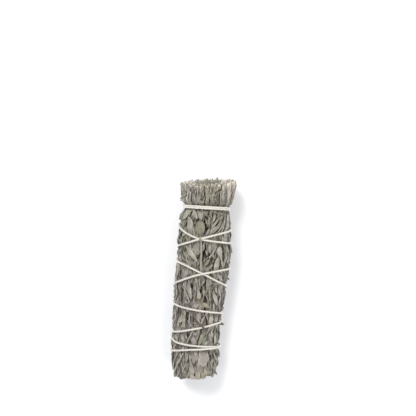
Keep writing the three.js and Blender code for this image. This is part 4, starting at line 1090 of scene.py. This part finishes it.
def dried_sage_leaf():
    """Dried sage leaf: a thin wrinkled blade felted with white hairs. That gives a soft grey-green with no
    gloss, with a paler edge and a raised midrib."""
    material, tree = bare_material("dried_sage_leaf")
    look = add_node(tree, "ShaderNodeAttribute", {"attribute_name": "look"}).outputs["Vector"]
    # depth is the painted shade: above nought it darkens and browns leaves deep between the others, below
    # nought it pales cut ends.
    tint, hue, depth = add_node(tree, "ShaderNodeSeparateXYZ", inputs={0: look}).outputs
    spot = add_node(tree, "ShaderNodeTexCoord").outputs["Object"]
    on_leaf = add_node(tree, "ShaderNodeUVMap", {"uv_map": "leaf"}).outputs["UV"]
    along, across, _ = add_node(tree, "ShaderNodeSeparateXYZ", inputs={0: on_leaf}).outputs
    aside = add_node(tree, "ShaderNodeMath", {"operation": "SUBTRACT"}, {0: across, 1: 0.5}).outputs[0]
    off_middle = add_node(tree, "ShaderNodeMath", {"operation": "ABSOLUTE"}, {0: aside}).outputs[0]

    blotches = add_node(tree, "ShaderNodeTexNoise", inputs={
        "Vector": spot, "Scale": 1 / (2.4 * MM), "Detail": 3.0}).outputs[0]
    felt = add_node(tree, "ShaderNodeTexNoise", inputs={
        "Vector": spot, "Scale": 1 / (0.28 * MM), "Detail": 4.0}).outputs[0]
    wrinkles = add_node(tree, "ShaderNodeTexNoise", inputs={
        "Vector": spot, "Scale": 1 / (0.9 * MM), "Detail": 3.0}).outputs[0]

    colour = add_node(tree, "ShaderNodeValToRGB", {"stops": [
        (0.0, "#7b7967"), (0.3, "#838074"), (0.5, "#86827a"), (0.74, "#857e79"), (0.86, "#867f73"),
        (1.0, "#928975"),
    ]}, {"Fac": hue}).outputs[0]
    # Painted shade turns deep leaves browner as well as darker.
    shade_browning = add_node(tree, "ShaderNodeMapRange", inputs={
        0: depth, 1: 0.1, 2: 0.8, 3: 0.0, 4: 1.0}).outputs[0]
    colour = add_node(tree, "ShaderNodeMix", {"data_type": "RGBA"}, {
        0: shade_browning, 6: colour, 7: linear("#857a5f")}).outputs[2]
    # Cut ends are paler: partly their own colour, partly painted light.
    cut_pale_and_painted_light = add_node(tree, "ShaderNodeMapRange", inputs={
        0: depth, 1: -1.0, 2: 0.0, 3: 0.7, 4: 0.0}).outputs[0]
    colour = add_node(tree, "ShaderNodeMix", {"data_type": "RGBA"}, {
        0: cut_pale_and_painted_light, 6: colour, 7: linear("#848078")}).outputs[2]
    colour = shaded(tree, colour, [
        (tint, 0, 1, 0.65, 1.5),  # dark leaves and light ones
        (blotches, 0.3, 0.7, 0.78, 1.22),
        (felt, 0.3, 0.7, 0.72, 1.28),
        # Painted shade at the root, which is tucked under other leaves.
        (along, 0.0, 0.4, 0.7, 1.0),  # darker at the root
        (off_middle, 0.36, 0.5, 1.0, 1.4),  # paler at the edge
        (off_middle, 0.0, 0.07, 1.25, 1.0),  # and on the midrib
        # Painted shade: darker the deeper a leaf lies between the others.
        (depth, 0.0, 0.9, 1.0, 0.17),  # dark between the others
        # Paler at cut ends, partly their own colour and partly painted light.
        (depth, -1.0, 0.0, 2.8, 1.0),  # pale where it was cut
    ])

    rib = add_node(tree, "ShaderNodeMapRange", inputs={
        0: off_middle, 1: 0.0, 2: 0.12, 3: 0.7, 4: 0.0}).outputs[0]
    rows = add_node(tree, "ShaderNodeMath", {"operation": "MULTIPLY"}, {0: along, 1: 28.0}).outputs[0]
    slanted = add_node(tree, "ShaderNodeMath", {"operation": "MULTIPLY_ADD"}, {
        0: off_middle, 1: -12.0, 2: rows}).outputs[0]
    veins = add_node(tree, "ShaderNodeMath", {"operation": "SINE"}, {0: slanted}).outputs[0]
    relief = add_node(tree, "ShaderNodeMath", {"operation": "MULTIPLY_ADD"}, {
        0: veins, 1: 0.16, 2: wrinkles}).outputs[0]
    relief = add_node(tree, "ShaderNodeMath", {"operation": "ADD"}, {0: relief, 1: rib}).outputs[0]
    coarse = add_node(tree, "ShaderNodeBump", inputs={
        "Strength": 0.9, "Distance": 0.22 * MM, "Height": relief}).outputs[0]
    fine = add_node(tree, "ShaderNodeBump", inputs={
        "Strength": 0.7, "Distance": 0.06 * MM, "Height": felt, "Normal": coarse}).outputs[0]
    shader = add_node(tree, "ShaderNodeBsdfPrincipled", inputs={
        "Base Color": colour, "Roughness": 0.9, "Specular IOR Level": 0.2, "Sheen Weight": 0.15,
        "Sheen Roughness": 0.5, "Normal": fine}).outputs[0]
    add_node(tree, "ShaderNodeOutputMaterial", inputs={"Surface": shader})
    return material


def dried_sage_stem():
    """Dried sage stem: straw-grey bark with fine fibres along it, matt."""
    material, tree = bare_material("dried_sage_stem")
    look = add_node(tree, "ShaderNodeAttribute", {"attribute_name": "look"}).outputs["Vector"]
    tint, hue, depth = add_node(tree, "ShaderNodeSeparateXYZ", inputs={0: look}).outputs
    spot = add_node(tree, "ShaderNodeTexCoord").outputs["Object"]
    drawn_out = add_node(tree, "ShaderNodeMapping", inputs={
        "Vector": spot, "Scale": (0.12, 1.0, 1.0)}).outputs[0]
    fibres = add_node(tree, "ShaderNodeTexNoise", inputs={
        "Vector": drawn_out, "Scale": 1 / (0.22 * MM), "Detail": 3.0}).outputs[0]
    colour = add_node(tree, "ShaderNodeValToRGB", {"stops": [
        (0.0, "#878375"), (0.5, "#918c80"), (1.0, "#978e7d"),
    ]}, {"Fac": hue}).outputs[0]
    # depth is painted shade that darkens deep stems; below nought it pales cut ends, partly as painted light.
    colour = shaded(tree, colour, [
        (tint, 0, 1, 0.7, 1.4), (fibres, 0.3, 0.7, 0.78, 1.2), (depth, 0.0, 0.9, 1.0, 0.17),
        (depth, -1.0, 0.0, 2.3, 1.0),
    ])
    relief = add_node(tree, "ShaderNodeBump", inputs={
        "Strength": 0.7, "Distance": 0.08 * MM, "Height": fibres}).outputs[0]
    shader = add_node(tree, "ShaderNodeBsdfPrincipled", inputs={
        "Base Color": colour, "Roughness": 0.8, "Specular IOR Level": 0.3, "Normal": relief}).outputs[0]
    add_node(tree, "ShaderNodeOutputMaterial", inputs={"Surface": shader})
    return material


def twisted_cotton():
    """Twisted cotton string: soft whitened yarn, matt and a little fuzzy, with painted shade that greys the
    grooves between its plies."""
    material, tree = bare_material("twisted_cotton")
    ply = add_node(tree, "ShaderNodeAttribute", {"attribute_name": "ply"}).outputs["Fac"]
    spot = add_node(tree, "ShaderNodeTexCoord").outputs["Object"]
    soiling = add_node(tree, "ShaderNodeTexNoise", inputs={
        "Vector": spot, "Scale": 1 / (1.6 * MM), "Detail": 3.0}).outputs[0]
    fibres = add_node(tree, "ShaderNodeTexNoise", inputs={
        "Vector": spot, "Scale": 1 / (0.12 * MM), "Detail": 3.0}).outputs[0]
    colour = add_node(tree, "ShaderNodeValToRGB", {"stops": [
        (0.0, "#a49d8d"), (0.5, "#dcd7cb"), (1.0, "#f2efe8"),
    ]}, {"Fac": ply}).outputs[0]
    colour = shaded(tree, colour, [(soiling, 0.3, 0.7, 0.93, 1.04), (fibres, 0.3, 0.7, 0.92, 1.05)])
    relief = add_node(tree, "ShaderNodeBump", inputs={
        "Strength": 0.5, "Distance": 0.04 * MM, "Height": fibres}).outputs[0]
    shader = add_node(tree, "ShaderNodeBsdfPrincipled", inputs={
        "Base Color": colour, "Roughness": 0.9, "Specular IOR Level": 0.25, "Sheen Weight": 0.3,
        "Sheen Roughness": 0.6, "Normal": relief}).outputs[0]
    add_node(tree, "ShaderNodeOutputMaterial", inputs={"Surface": shader})
    return material


def painted_board():
    """The floor: a board painted matt white."""
    material = bpy.data.materials.new("white_painted_board")
    material.use_nodes = True
    shader = material.node_tree.nodes["Principled BSDF"]
    shader.inputs["Base Color"].default_value = linear("#f4f4f5")
    shader.inputs["Roughness"].default_value = 0.9
    return material


def new_tree(name, inputs, output):
    """An empty tree with named inputs and one output, and the identifier of each input."""
    tree = bpy.data.node_groups.new(name, "GeometryNodeTree")
    sockets = {}
    for label, kind in inputs:
        sockets[label] = tree.interface.new_socket(label, in_out="INPUT", socket_type=kind).identifier
    tree.interface.new_socket(output, in_out="OUTPUT", socket_type="NodeSocketGeometry")
    return tree, sockets


def leaf_tree():
    """Makes each middle line a leaf or a stem: a thin section is swept along it, curled, creased and
    crumpled."""
    tree, sockets = new_tree("leaves and stems", [
        ("Middle lines", "NodeSocketGeometry"), ("Section points", "NodeSocketInt"),
        ("Crumple", "NodeSocketFloat"), ("Crumple size", "NodeSocketFloat"), ("Lowest", "NodeSocketFloat"),
        ("Leaf", "NodeSocketMaterial"), ("Bark", "NodeSocketMaterial"),
    ], "Leaves")
    given = add_node(tree, "NodeGroupInput").outputs

    # A round section is swept along each line. Every point of it keeps where the line is, how far along it
    # is and where it is on the section.
    line = add_node(tree, "GeometryNodeMeshToCurve", inputs={"Mesh": given["Middle lines"]}).outputs[0]
    position = add_node(tree, "GeometryNodeInputPosition").outputs[0]
    line = add_node(tree, "GeometryNodeStoreNamedAttribute", {"data_type": "FLOAT_VECTOR"}, {
        "Geometry": line, "Name": "centre", "Value": position}).outputs[0]
    line = add_node(tree, "GeometryNodeStoreNamedAttribute", {"data_type": "FLOAT"}, {
        "Geometry": line, "Name": "along",
        "Value": add_node(tree, "GeometryNodeSplineParameter").outputs["Factor"]}).outputs[0]
    section = add_node(tree, "GeometryNodeCurvePrimitiveCircle", inputs={
        "Resolution": given["Section points"], "Radius": 1.0}).outputs[0]
    section = add_node(tree, "GeometryNodeStoreNamedAttribute", {"data_type": "FLOAT_VECTOR"}, {
        "Geometry": section, "Name": "section", "Value": position}).outputs[0]
    leaves = add_node(tree, "GeometryNodeCurveToMesh", inputs={
        "Curve": line, "Profile Curve": section, "Fill Caps": True}).outputs[0]

    vectors, numbers = {}, {}
    for name in ("centre", "section", "up", "sideways"):
        vectors[name] = add_node(tree, "GeometryNodeInputNamedAttribute", {"data_type": "FLOAT_VECTOR"}, {
            "Name": name}).outputs[0]
    for name in ("along", "half", "thick", "curl", "fold", "stem"):
        numbers[name] = add_node(tree, "GeometryNodeInputNamedAttribute", {"data_type": "FLOAT"}, {
            "Name": name}).outputs[0]
    across, over, _ = add_node(tree, "ShaderNodeSeparateXYZ", inputs={0: vectors["section"]}).outputs

    # The section is bent to an arc that turns by the curl from its middle to each edge.
    turn = add_node(tree, "ShaderNodeMath", {"operation": "MULTIPLY"}, {
        0: numbers["curl"], 1: across}).outputs[0]
    reach = add_node(tree, "ShaderNodeMath", {"operation": "SINE"}, {0: turn}).outputs[0]
    reach = add_node(tree, "ShaderNodeMath", {"operation": "DIVIDE"}, {
        0: reach, 1: numbers["curl"]}).outputs[0]
    reach = add_node(tree, "ShaderNodeMath", {"operation": "MULTIPLY"}, {
        0: reach, 1: numbers["half"]}).outputs[0]
    half_turn = add_node(tree, "ShaderNodeMath", {"operation": "MULTIPLY"}, {0: turn, 1: 0.5}).outputs[0]
    drop = add_node(tree, "ShaderNodeMath", {"operation": "TANGENT"}, {0: half_turn}).outputs[0]
    drop = add_node(tree, "ShaderNodeMath", {"operation": "MULTIPLY"}, {0: drop, 1: reach}).outputs[0]
    crease = add_node(tree, "ShaderNodeMath", {"operation": "ABSOLUTE"}, {0: across}).outputs[0]
    crease = add_node(tree, "ShaderNodeMath", {"operation": "MULTIPLY"}, {
        0: crease, 1: numbers["fold"]}).outputs[0]
    drop = add_node(tree, "ShaderNodeMath", {"operation": "MULTIPLY_ADD"}, {
        0: crease, 1: numbers["half"], 2: drop}).outputs[0]
    height = add_node(tree, "ShaderNodeMath", {"operation": "MULTIPLY"}, {
        0: over, 1: numbers["thick"]}).outputs[0]
    height = add_node(tree, "ShaderNodeMath", {"operation": "SUBTRACT"}, {0: height, 1: drop}).outputs[0]

    # The whole surface wanders a little, except on stems.
    edge = add_node(tree, "ShaderNodeVectorMath", {"operation": "SCALE"}, {
        0: vectors["sideways"], "Scale": reach}).outputs[0]
    edge = add_node(tree, "ShaderNodeVectorMath", {"operation": "ADD"}, {
        0: edge, 1: vectors["centre"]}).outputs[0]
    fineness = add_node(tree, "ShaderNodeMath", {"operation": "DIVIDE"}, {
        0: 1.0, 1: given["Crumple size"]}).outputs[0]
    wander = add_node(tree, "ShaderNodeTexNoise", inputs={
        "Vector": edge, "Scale": fineness, "Detail": 1.0}).outputs[0]
    wander = add_node(tree, "ShaderNodeMath", {"operation": "SUBTRACT"}, {0: wander, 1: 0.5}).outputs[0]
    supple = add_node(tree, "ShaderNodeMath", {"operation": "SUBTRACT"}, {
        0: 1.0, 1: numbers["stem"]}).outputs[0]
    wander = add_node(tree, "ShaderNodeMath", {"operation": "MULTIPLY"}, {0: wander, 1: supple}).outputs[0]
    height = add_node(tree, "ShaderNodeMath", {"operation": "MULTIPLY_ADD"}, {
        0: wander, 1: given["Crumple"], 2: height}).outputs[0]
    raised = add_node(tree, "ShaderNodeVectorMath", {"operation": "SCALE"}, {
        0: vectors["up"], "Scale": height}).outputs[0]
    moved = add_node(tree, "ShaderNodeVectorMath", {"operation": "ADD"}, {0: edge, 1: raised}).outputs[0]

    # Nothing sinks into the floor.
    x, y, z = add_node(tree, "ShaderNodeSeparateXYZ", inputs={0: moved}).outputs
    z = add_node(tree, "ShaderNodeMath", {"operation": "MAXIMUM"}, {0: z, 1: given["Lowest"]}).outputs[0]
    moved = add_node(tree, "ShaderNodeCombineXYZ", inputs={0: x, 1: y, 2: z}).outputs[0]
    leaves = add_node(tree, "GeometryNodeSetPosition", inputs={
        "Geometry": leaves, "Position": moved}).outputs[0]

    # Its UV map runs along the leaf and across it.
    share = add_node(tree, "ShaderNodeMath", {"operation": "MULTIPLY_ADD"}, {
        0: across, 1: 0.5, 2: 0.5}).outputs[0]
    on_leaf = add_node(tree, "ShaderNodeCombineXYZ", inputs={0: numbers["along"], 1: share}).outputs[0]
    leaves = add_node(tree, "GeometryNodeStoreNamedAttribute", {"data_type": "FLOAT2", "domain": "CORNER"}, {
        "Geometry": leaves, "Name": "leaf", "Value": on_leaf}).outputs[0]
    leaves = add_node(tree, "GeometryNodeRealizeInstances", inputs={"Geometry": leaves}).outputs[0]
    leaves = add_node(tree, "GeometryNodeSetMaterial", inputs={
        "Geometry": leaves, "Material": given["Leaf"]}).outputs[0]
    woody = add_node(tree, "FunctionNodeCompare", {"data_type": "FLOAT", "operation": "GREATER_THAN"}, {
        0: numbers["stem"], 1: 0.5}).outputs[0]
    leaves = add_node(tree, "GeometryNodeSetMaterial", inputs={
        "Geometry": leaves, "Selection": woody, "Material": given["Bark"]}).outputs[0]
    add_node(tree, "NodeGroupOutput", inputs={0: leaves})
    return tree, sockets


def string_tree():
    """Sweeps a section of three plies along each line of the route and twists it, then lets a few fibres
    stand out of it."""
    tree, sockets = new_tree("twisted string", [
        ("Route", "NodeSocketGeometry"), ("Radius", "NodeSocketFloat"), ("Ply depth", "NodeSocketFloat"),
        ("Twist length", "NodeSocketFloat"), ("Fibre density", "NodeSocketFloat"),
        ("Fibre length", "NodeSocketFloat"), ("Fibre radius", "NodeSocketFloat"),
        ("Lowest", "NodeSocketFloat"), ("Seed", "NodeSocketInt"), ("Cotton", "NodeSocketMaterial"),
    ], "String")
    given = add_node(tree, "NodeGroupInput").outputs
    position = add_node(tree, "GeometryNodeInputPosition").outputs[0]
    factor, length, _ = add_node(tree, "GeometryNodeSplineParameter").outputs

    # The section has a lobe for each ply, and the tilt of the route twists them.
    route = add_node(tree, "GeometryNodeMeshToCurve", inputs={"Mesh": given["Route"]}).outputs[0]
    turns = add_node(tree, "ShaderNodeMath", {"operation": "DIVIDE"}, {
        0: length, 1: given["Twist length"]}).outputs[0]
    tilt = add_node(tree, "ShaderNodeMath", {"operation": "MULTIPLY"}, {0: turns, 1: TURN}).outputs[0]
    route = add_node(tree, "GeometryNodeSetCurveTilt", inputs={"Curve": route, "Tilt": tilt}).outputs[0]
    section = add_node(tree, "GeometryNodeCurvePrimitiveCircle", inputs={
        "Resolution": 12, "Radius": given["Radius"]}).outputs[0]
    angle = add_node(tree, "ShaderNodeMath", {"operation": "MULTIPLY"}, {0: factor, 1: 3 * TURN}).outputs[0]
    plies = add_node(tree, "ShaderNodeMath", {"operation": "COSINE"}, {0: angle}).outputs[0]
    swelling = add_node(tree, "ShaderNodeMath", {"operation": "MULTIPLY_ADD"}, {
        0: plies, 1: given["Ply depth"], 2: 1.0}).outputs[0]
    lobed = add_node(tree, "ShaderNodeVectorMath", {"operation": "SCALE"}, {
        0: position, "Scale": swelling}).outputs[0]
    section = add_node(tree, "GeometryNodeSetPosition", inputs={
        "Geometry": section, "Position": lobed}).outputs[0]
    # How far out on a ply each point is, which the cotton material turns into painted shade in the grooves.
    on_ply = add_node(tree, "ShaderNodeMath", {"operation": "MULTIPLY_ADD"}, {
        0: plies, 1: 0.5, 2: 0.5}).outputs[0]
    section = add_node(tree, "GeometryNodeStoreNamedAttribute", {"data_type": "FLOAT"}, {
        "Geometry": section, "Name": "ply", "Value": on_ply}).outputs[0]
    yarn = add_node(tree, "GeometryNodeCurveToMesh", inputs={
        "Curve": route, "Profile Curve": section, "Fill Caps": True}).outputs[0]

    # Short bent fibres stand out of the yarn here and there.
    spots = add_node(tree, "GeometryNodeDistributePointsOnFaces", {"distribute_method": "RANDOM"}, {
        "Mesh": yarn, "Density": given["Fibre density"], "Seed": given["Seed"]}).outputs
    fibre = add_node(tree, "GeometryNodeCurveQuadraticBezier", inputs={
        "Resolution": 3, "Start": (0, 0, -0.1), "Middle": (0.1, 0, 0.5), "End": (0.8, 0, 0.7)}).outputs[0]
    thread = add_node(tree, "GeometryNodeCurvePrimitiveCircle", inputs={
        "Resolution": 3, "Radius": given["Fibre radius"]}).outputs[0]
    fibre = add_node(tree, "GeometryNodeCurveToMesh", inputs={
        "Curve": fibre, "Profile Curve": thread, "Fill Caps": True}).outputs[0]
    lean = add_node(tree, "FunctionNodeRandomValue", {"data_type": "FLOAT_VECTOR"}, {
        0: (-0.9, -0.9, 0), 1: (0.9, 0.9, TURN), "Seed": given["Seed"]}).outputs[0]
    lean = add_node(tree, "FunctionNodeEulerToRotation", inputs={0: lean}).outputs[0]
    turned = add_node(tree, "FunctionNodeRotateRotation", {"rotation_space": "LOCAL"}, {
        0: spots["Rotation"], 1: lean}).outputs[0]
    size = add_node(tree, "FunctionNodeRandomValue", {"data_type": "FLOAT"}, {
        2: 0.5, 3: 1.5, "Seed": given["Seed"]}).outputs[1]
    size = add_node(tree, "ShaderNodeMath", {"operation": "MULTIPLY"}, {
        0: size, 1: given["Fibre length"]}).outputs[0]
    fibres = add_node(tree, "GeometryNodeInstanceOnPoints", inputs={
        "Points": spots["Points"], "Instance": fibre, "Rotation": turned, "Scale": size}).outputs[0]
    fibres = add_node(tree, "GeometryNodeRealizeInstances", inputs={"Geometry": fibres}).outputs[0]
    # Fibres get no painted groove shade.
    fibres = add_node(tree, "GeometryNodeStoreNamedAttribute", {"data_type": "FLOAT"}, {
        "Geometry": fibres, "Name": "ply", "Value": 1.0}).outputs[0]
    string = add_node(tree, "GeometryNodeJoinGeometry")
    for part in (yarn, fibres):
        tree.links.new(part, string.inputs[0])

    # Nothing sinks into the floor.
    x, y, z = add_node(tree, "ShaderNodeSeparateXYZ", inputs={0: position}).outputs
    z = add_node(tree, "ShaderNodeMath", {"operation": "MAXIMUM"}, {0: z, 1: given["Lowest"]}).outputs[0]
    pressed = add_node(tree, "ShaderNodeCombineXYZ", inputs={0: x, 1: y, 2: z}).outputs[0]
    string = add_node(tree, "GeometryNodeSetPosition", inputs={
        "Geometry": string.outputs[0], "Position": pressed}).outputs[0]
    string = add_node(tree, "GeometryNodeRealizeInstances", inputs={"Geometry": string}).outputs[0]
    string = add_node(tree, "GeometryNodeSetMaterial", inputs={
        "Geometry": string, "Material": given["Cotton"]}).outputs[0]
    add_node(tree, "NodeGroupOutput", inputs={0: string})
    return tree, sockets


def made_plain(made, tree, sockets, values):
    """Runs a tree on an object, and leaves the result as its plain mesh."""
    modifier = made.modifiers.new(tree.name, "NODES")
    modifier.node_group = tree
    for name, value in values.items():
        modifier[sockets[name]] = value
    evaluated = made.evaluated_get(bpy.context.evaluated_depsgraph_get())
    mesh = bpy.data.meshes.new_from_object(evaluated)
    mesh.name = made.name
    made.modifiers.clear()
    made.data = mesh
    for name in ("centre", "section", "along", "up", "sideways", "half", "thick", "curl", "fold", "stem"):
        if name in mesh.attributes:
            mesh.attributes.remove(mesh.attributes[name])
    mesh.shade_smooth()
    mesh.set_sharp_from_angle(angle=math.radians(60))
    return made


def even_steps(points, step):
    """The points of a line at even steps along it."""
    length = np.concatenate([[0], np.cumsum(np.linalg.norm(np.diff(points, axis=0), axis=1))])
    at = np.linspace(0, length[-1], max(int(length[-1] / step), 2) + 1)
    return np.stack([np.interp(at, length, points[:, i]) for i in range(3)], axis=1)


def string_route():
    """The lines of the string: its windings, the tie and the two loose ends."""
    q, s, phi = winding_places(6000)
    lines = [on_surface(s, phi, crossing_rise(q, s))]
    turn = np.linspace(0, TURN, 60)
    reach = TIE_RADIUS * (2 + np.cos(3 * turn)) / 2
    knot = np.stack([
        reach * np.cos(2 * turn), reach * np.sin(2 * turn), TIE_RADIUS * np.sin(3 * turn) / 2,
    ], axis=1)
    tilt = math.pi - TIE_ANGLE
    turned = np.stack([
        knot[:, 0],
        knot[:, 1] * math.cos(tilt) - knot[:, 2] * math.sin(tilt),
        knot[:, 1] * math.sin(tilt) + knot[:, 2] * math.cos(tilt),
    ], axis=1)
    lines.append(turned + on_surface(TIE_S, TIE_ANGLE, 0.35))
    for stations in TAILS:
        at = np.linspace(0, 3, 40)
        tail_s = through([(i, station[0]) for i, station in enumerate(stations)], at)
        tail_phi = np.radians(through([(i, station[1]) for i, station in enumerate(stations)], at))
        lines.append(on_surface(tail_s, tail_phi, np.interp(at, [0, 1], [0.4, 0.1])))
    points, edges, count = [], [], 0
    for line in lines:
        stepped = even_steps(line, STRING_STEP)
        points.append(stepped)
        edges += [(count + i, count + i + 1) for i in range(len(stepped) - 1)]
        count += len(stepped)
    mesh = bpy.data.meshes.new("cotton_string")
    mesh.from_pydata((np.concatenate(points) * MM).tolist(), edges, [])
    made = bpy.data.objects.new("cotton_string", mesh)
    bpy.context.scene.collection.objects.link(made)
    return made


# The whole bundle.
leaf, bark, cotton = dried_sage_leaf(), dried_sage_stem(), twisted_cotton()
leaf_maker, leaf_sockets = leaf_tree()

sprigs = [MiddleLines() for _ in range(OUTER_SPRIGS)]
seen_leaves(sprigs, np.random.default_rng(SEED))
leaves_over_the_string(sprigs)
stray_leaves(sprigs)
for k, lines in enumerate(sprigs):
    outer_sprig(k, lines, np.random.default_rng(SEED + 1 + k))
named = [(f"outer_leaves_{k + 1:02d}", f"outer_sprig_{k + 1:02d}", lines) for k, lines in enumerate(sprigs)]

middle = MiddleLines()
inner_sprig(middle, 0, 0, np.random.default_rng(INNER_SEED))
named.append(("middle_leaves", "middle_sprig", middle))
for n in range(INNER_SPRIGS):
    angle = TURN * n / INNER_SPRIGS
    lines = MiddleLines()
    inner_sprig(lines, INNER_RING * math.sin(angle), INNER_RING * math.cos(angle),
                np.random.default_rng(INNER_SEED + 1 + n))
    named.append((f"inner_leaves_{n + 1:02d}", f"inner_sprig_{n + 1:02d}", lines))

for name, node, lines in named:
    sprig = made_plain(lines.line_object(name), leaf_maker, leaf_sockets, {
        "Section points": 8, "Crumple": CRUMPLE * MM, "Crumple size": CRUMPLE_SIZE * MM,
        "Lowest": LOWEST_LEAF * MM, "Leaf": leaf, "Bark": bark})
    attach(sprig, "root")
    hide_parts(node)

string_maker, string_sockets = string_tree()
string = made_plain(string_route(), string_maker, string_sockets, {
    "Radius": STRING_DIAMETER / 2 / STRING_FULLNESS * MM, "Ply depth": PLY_DEPTH,
    "Twist length": STRING_TWIST * MM, "Fibre density": FIBRE_DENSITY, "Fibre length": FIBRE_LENGTH * MM,
    "Fibre radius": 0.03, "Lowest": LOWEST_STRING * MM, "Seed": 5, "Cotton": cotton})
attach(string, "root")
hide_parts("binding_string")

# The floor, the light and the camera.
floor_mesh = bpy.data.meshes.new("floor")
floor_mesh.from_pydata([(-3, -3, -2e-5), (3, -3, -2e-5), (3, 3, -2e-5), (-3, 3, -2e-5)], [], [(0, 1, 2, 3)])
floor_mesh.materials.append(painted_board())
floor = bpy.data.objects.new("floor", floor_mesh)
bpy.context.scene.collection.objects.link(floor)

for name, spot, size, power in (("key", (-0.5, -0.35, 0.8), 0.5, 8), ("fill", (0.3, 0.6, 0.7), 0.8, 5)):
    lamp = bpy.data.lights.new(name, "AREA")
    lamp.shape = "DISK"
    lamp.size = size
    lamp.energy = power
    light = bpy.data.objects.new(name, lamp)
    light.location = spot
    light.rotation_euler = (-light.location).to_track_quat("-Z", "Y").to_euler()
    bpy.context.scene.collection.objects.link(light)

world = bpy.data.worlds.new("studio")
world.use_nodes = True
world.node_tree.nodes["Background"].inputs["Color"].default_value = linear("#f6f8fb")
world.node_tree.nodes["Background"].inputs["Strength"].default_value = 0.65
bpy.context.scene.world = world
bpy.context.scene.view_settings.view_transform = "Standard"

camera_data = bpy.data.cameras.new("camera")
camera_data.sensor_fit = "HORIZONTAL"
camera_data.angle = 2 * math.atan(HALF_FIELD / CAMERA_DISTANCE)
camera = bpy.data.objects.new("camera", camera_data)
camera.location = (
    (CAMERA_S - LENGTH / 2) * MM, CAMERA_Y * MM, (MIDDLE_HEIGHT + CAMERA_DISTANCE) * MM)
camera.rotation_euler = (0, 0, math.pi / 2 + LEAN)
bpy.context.scene.collection.objects.link(camera)
bpy.context.scene.camera = camera
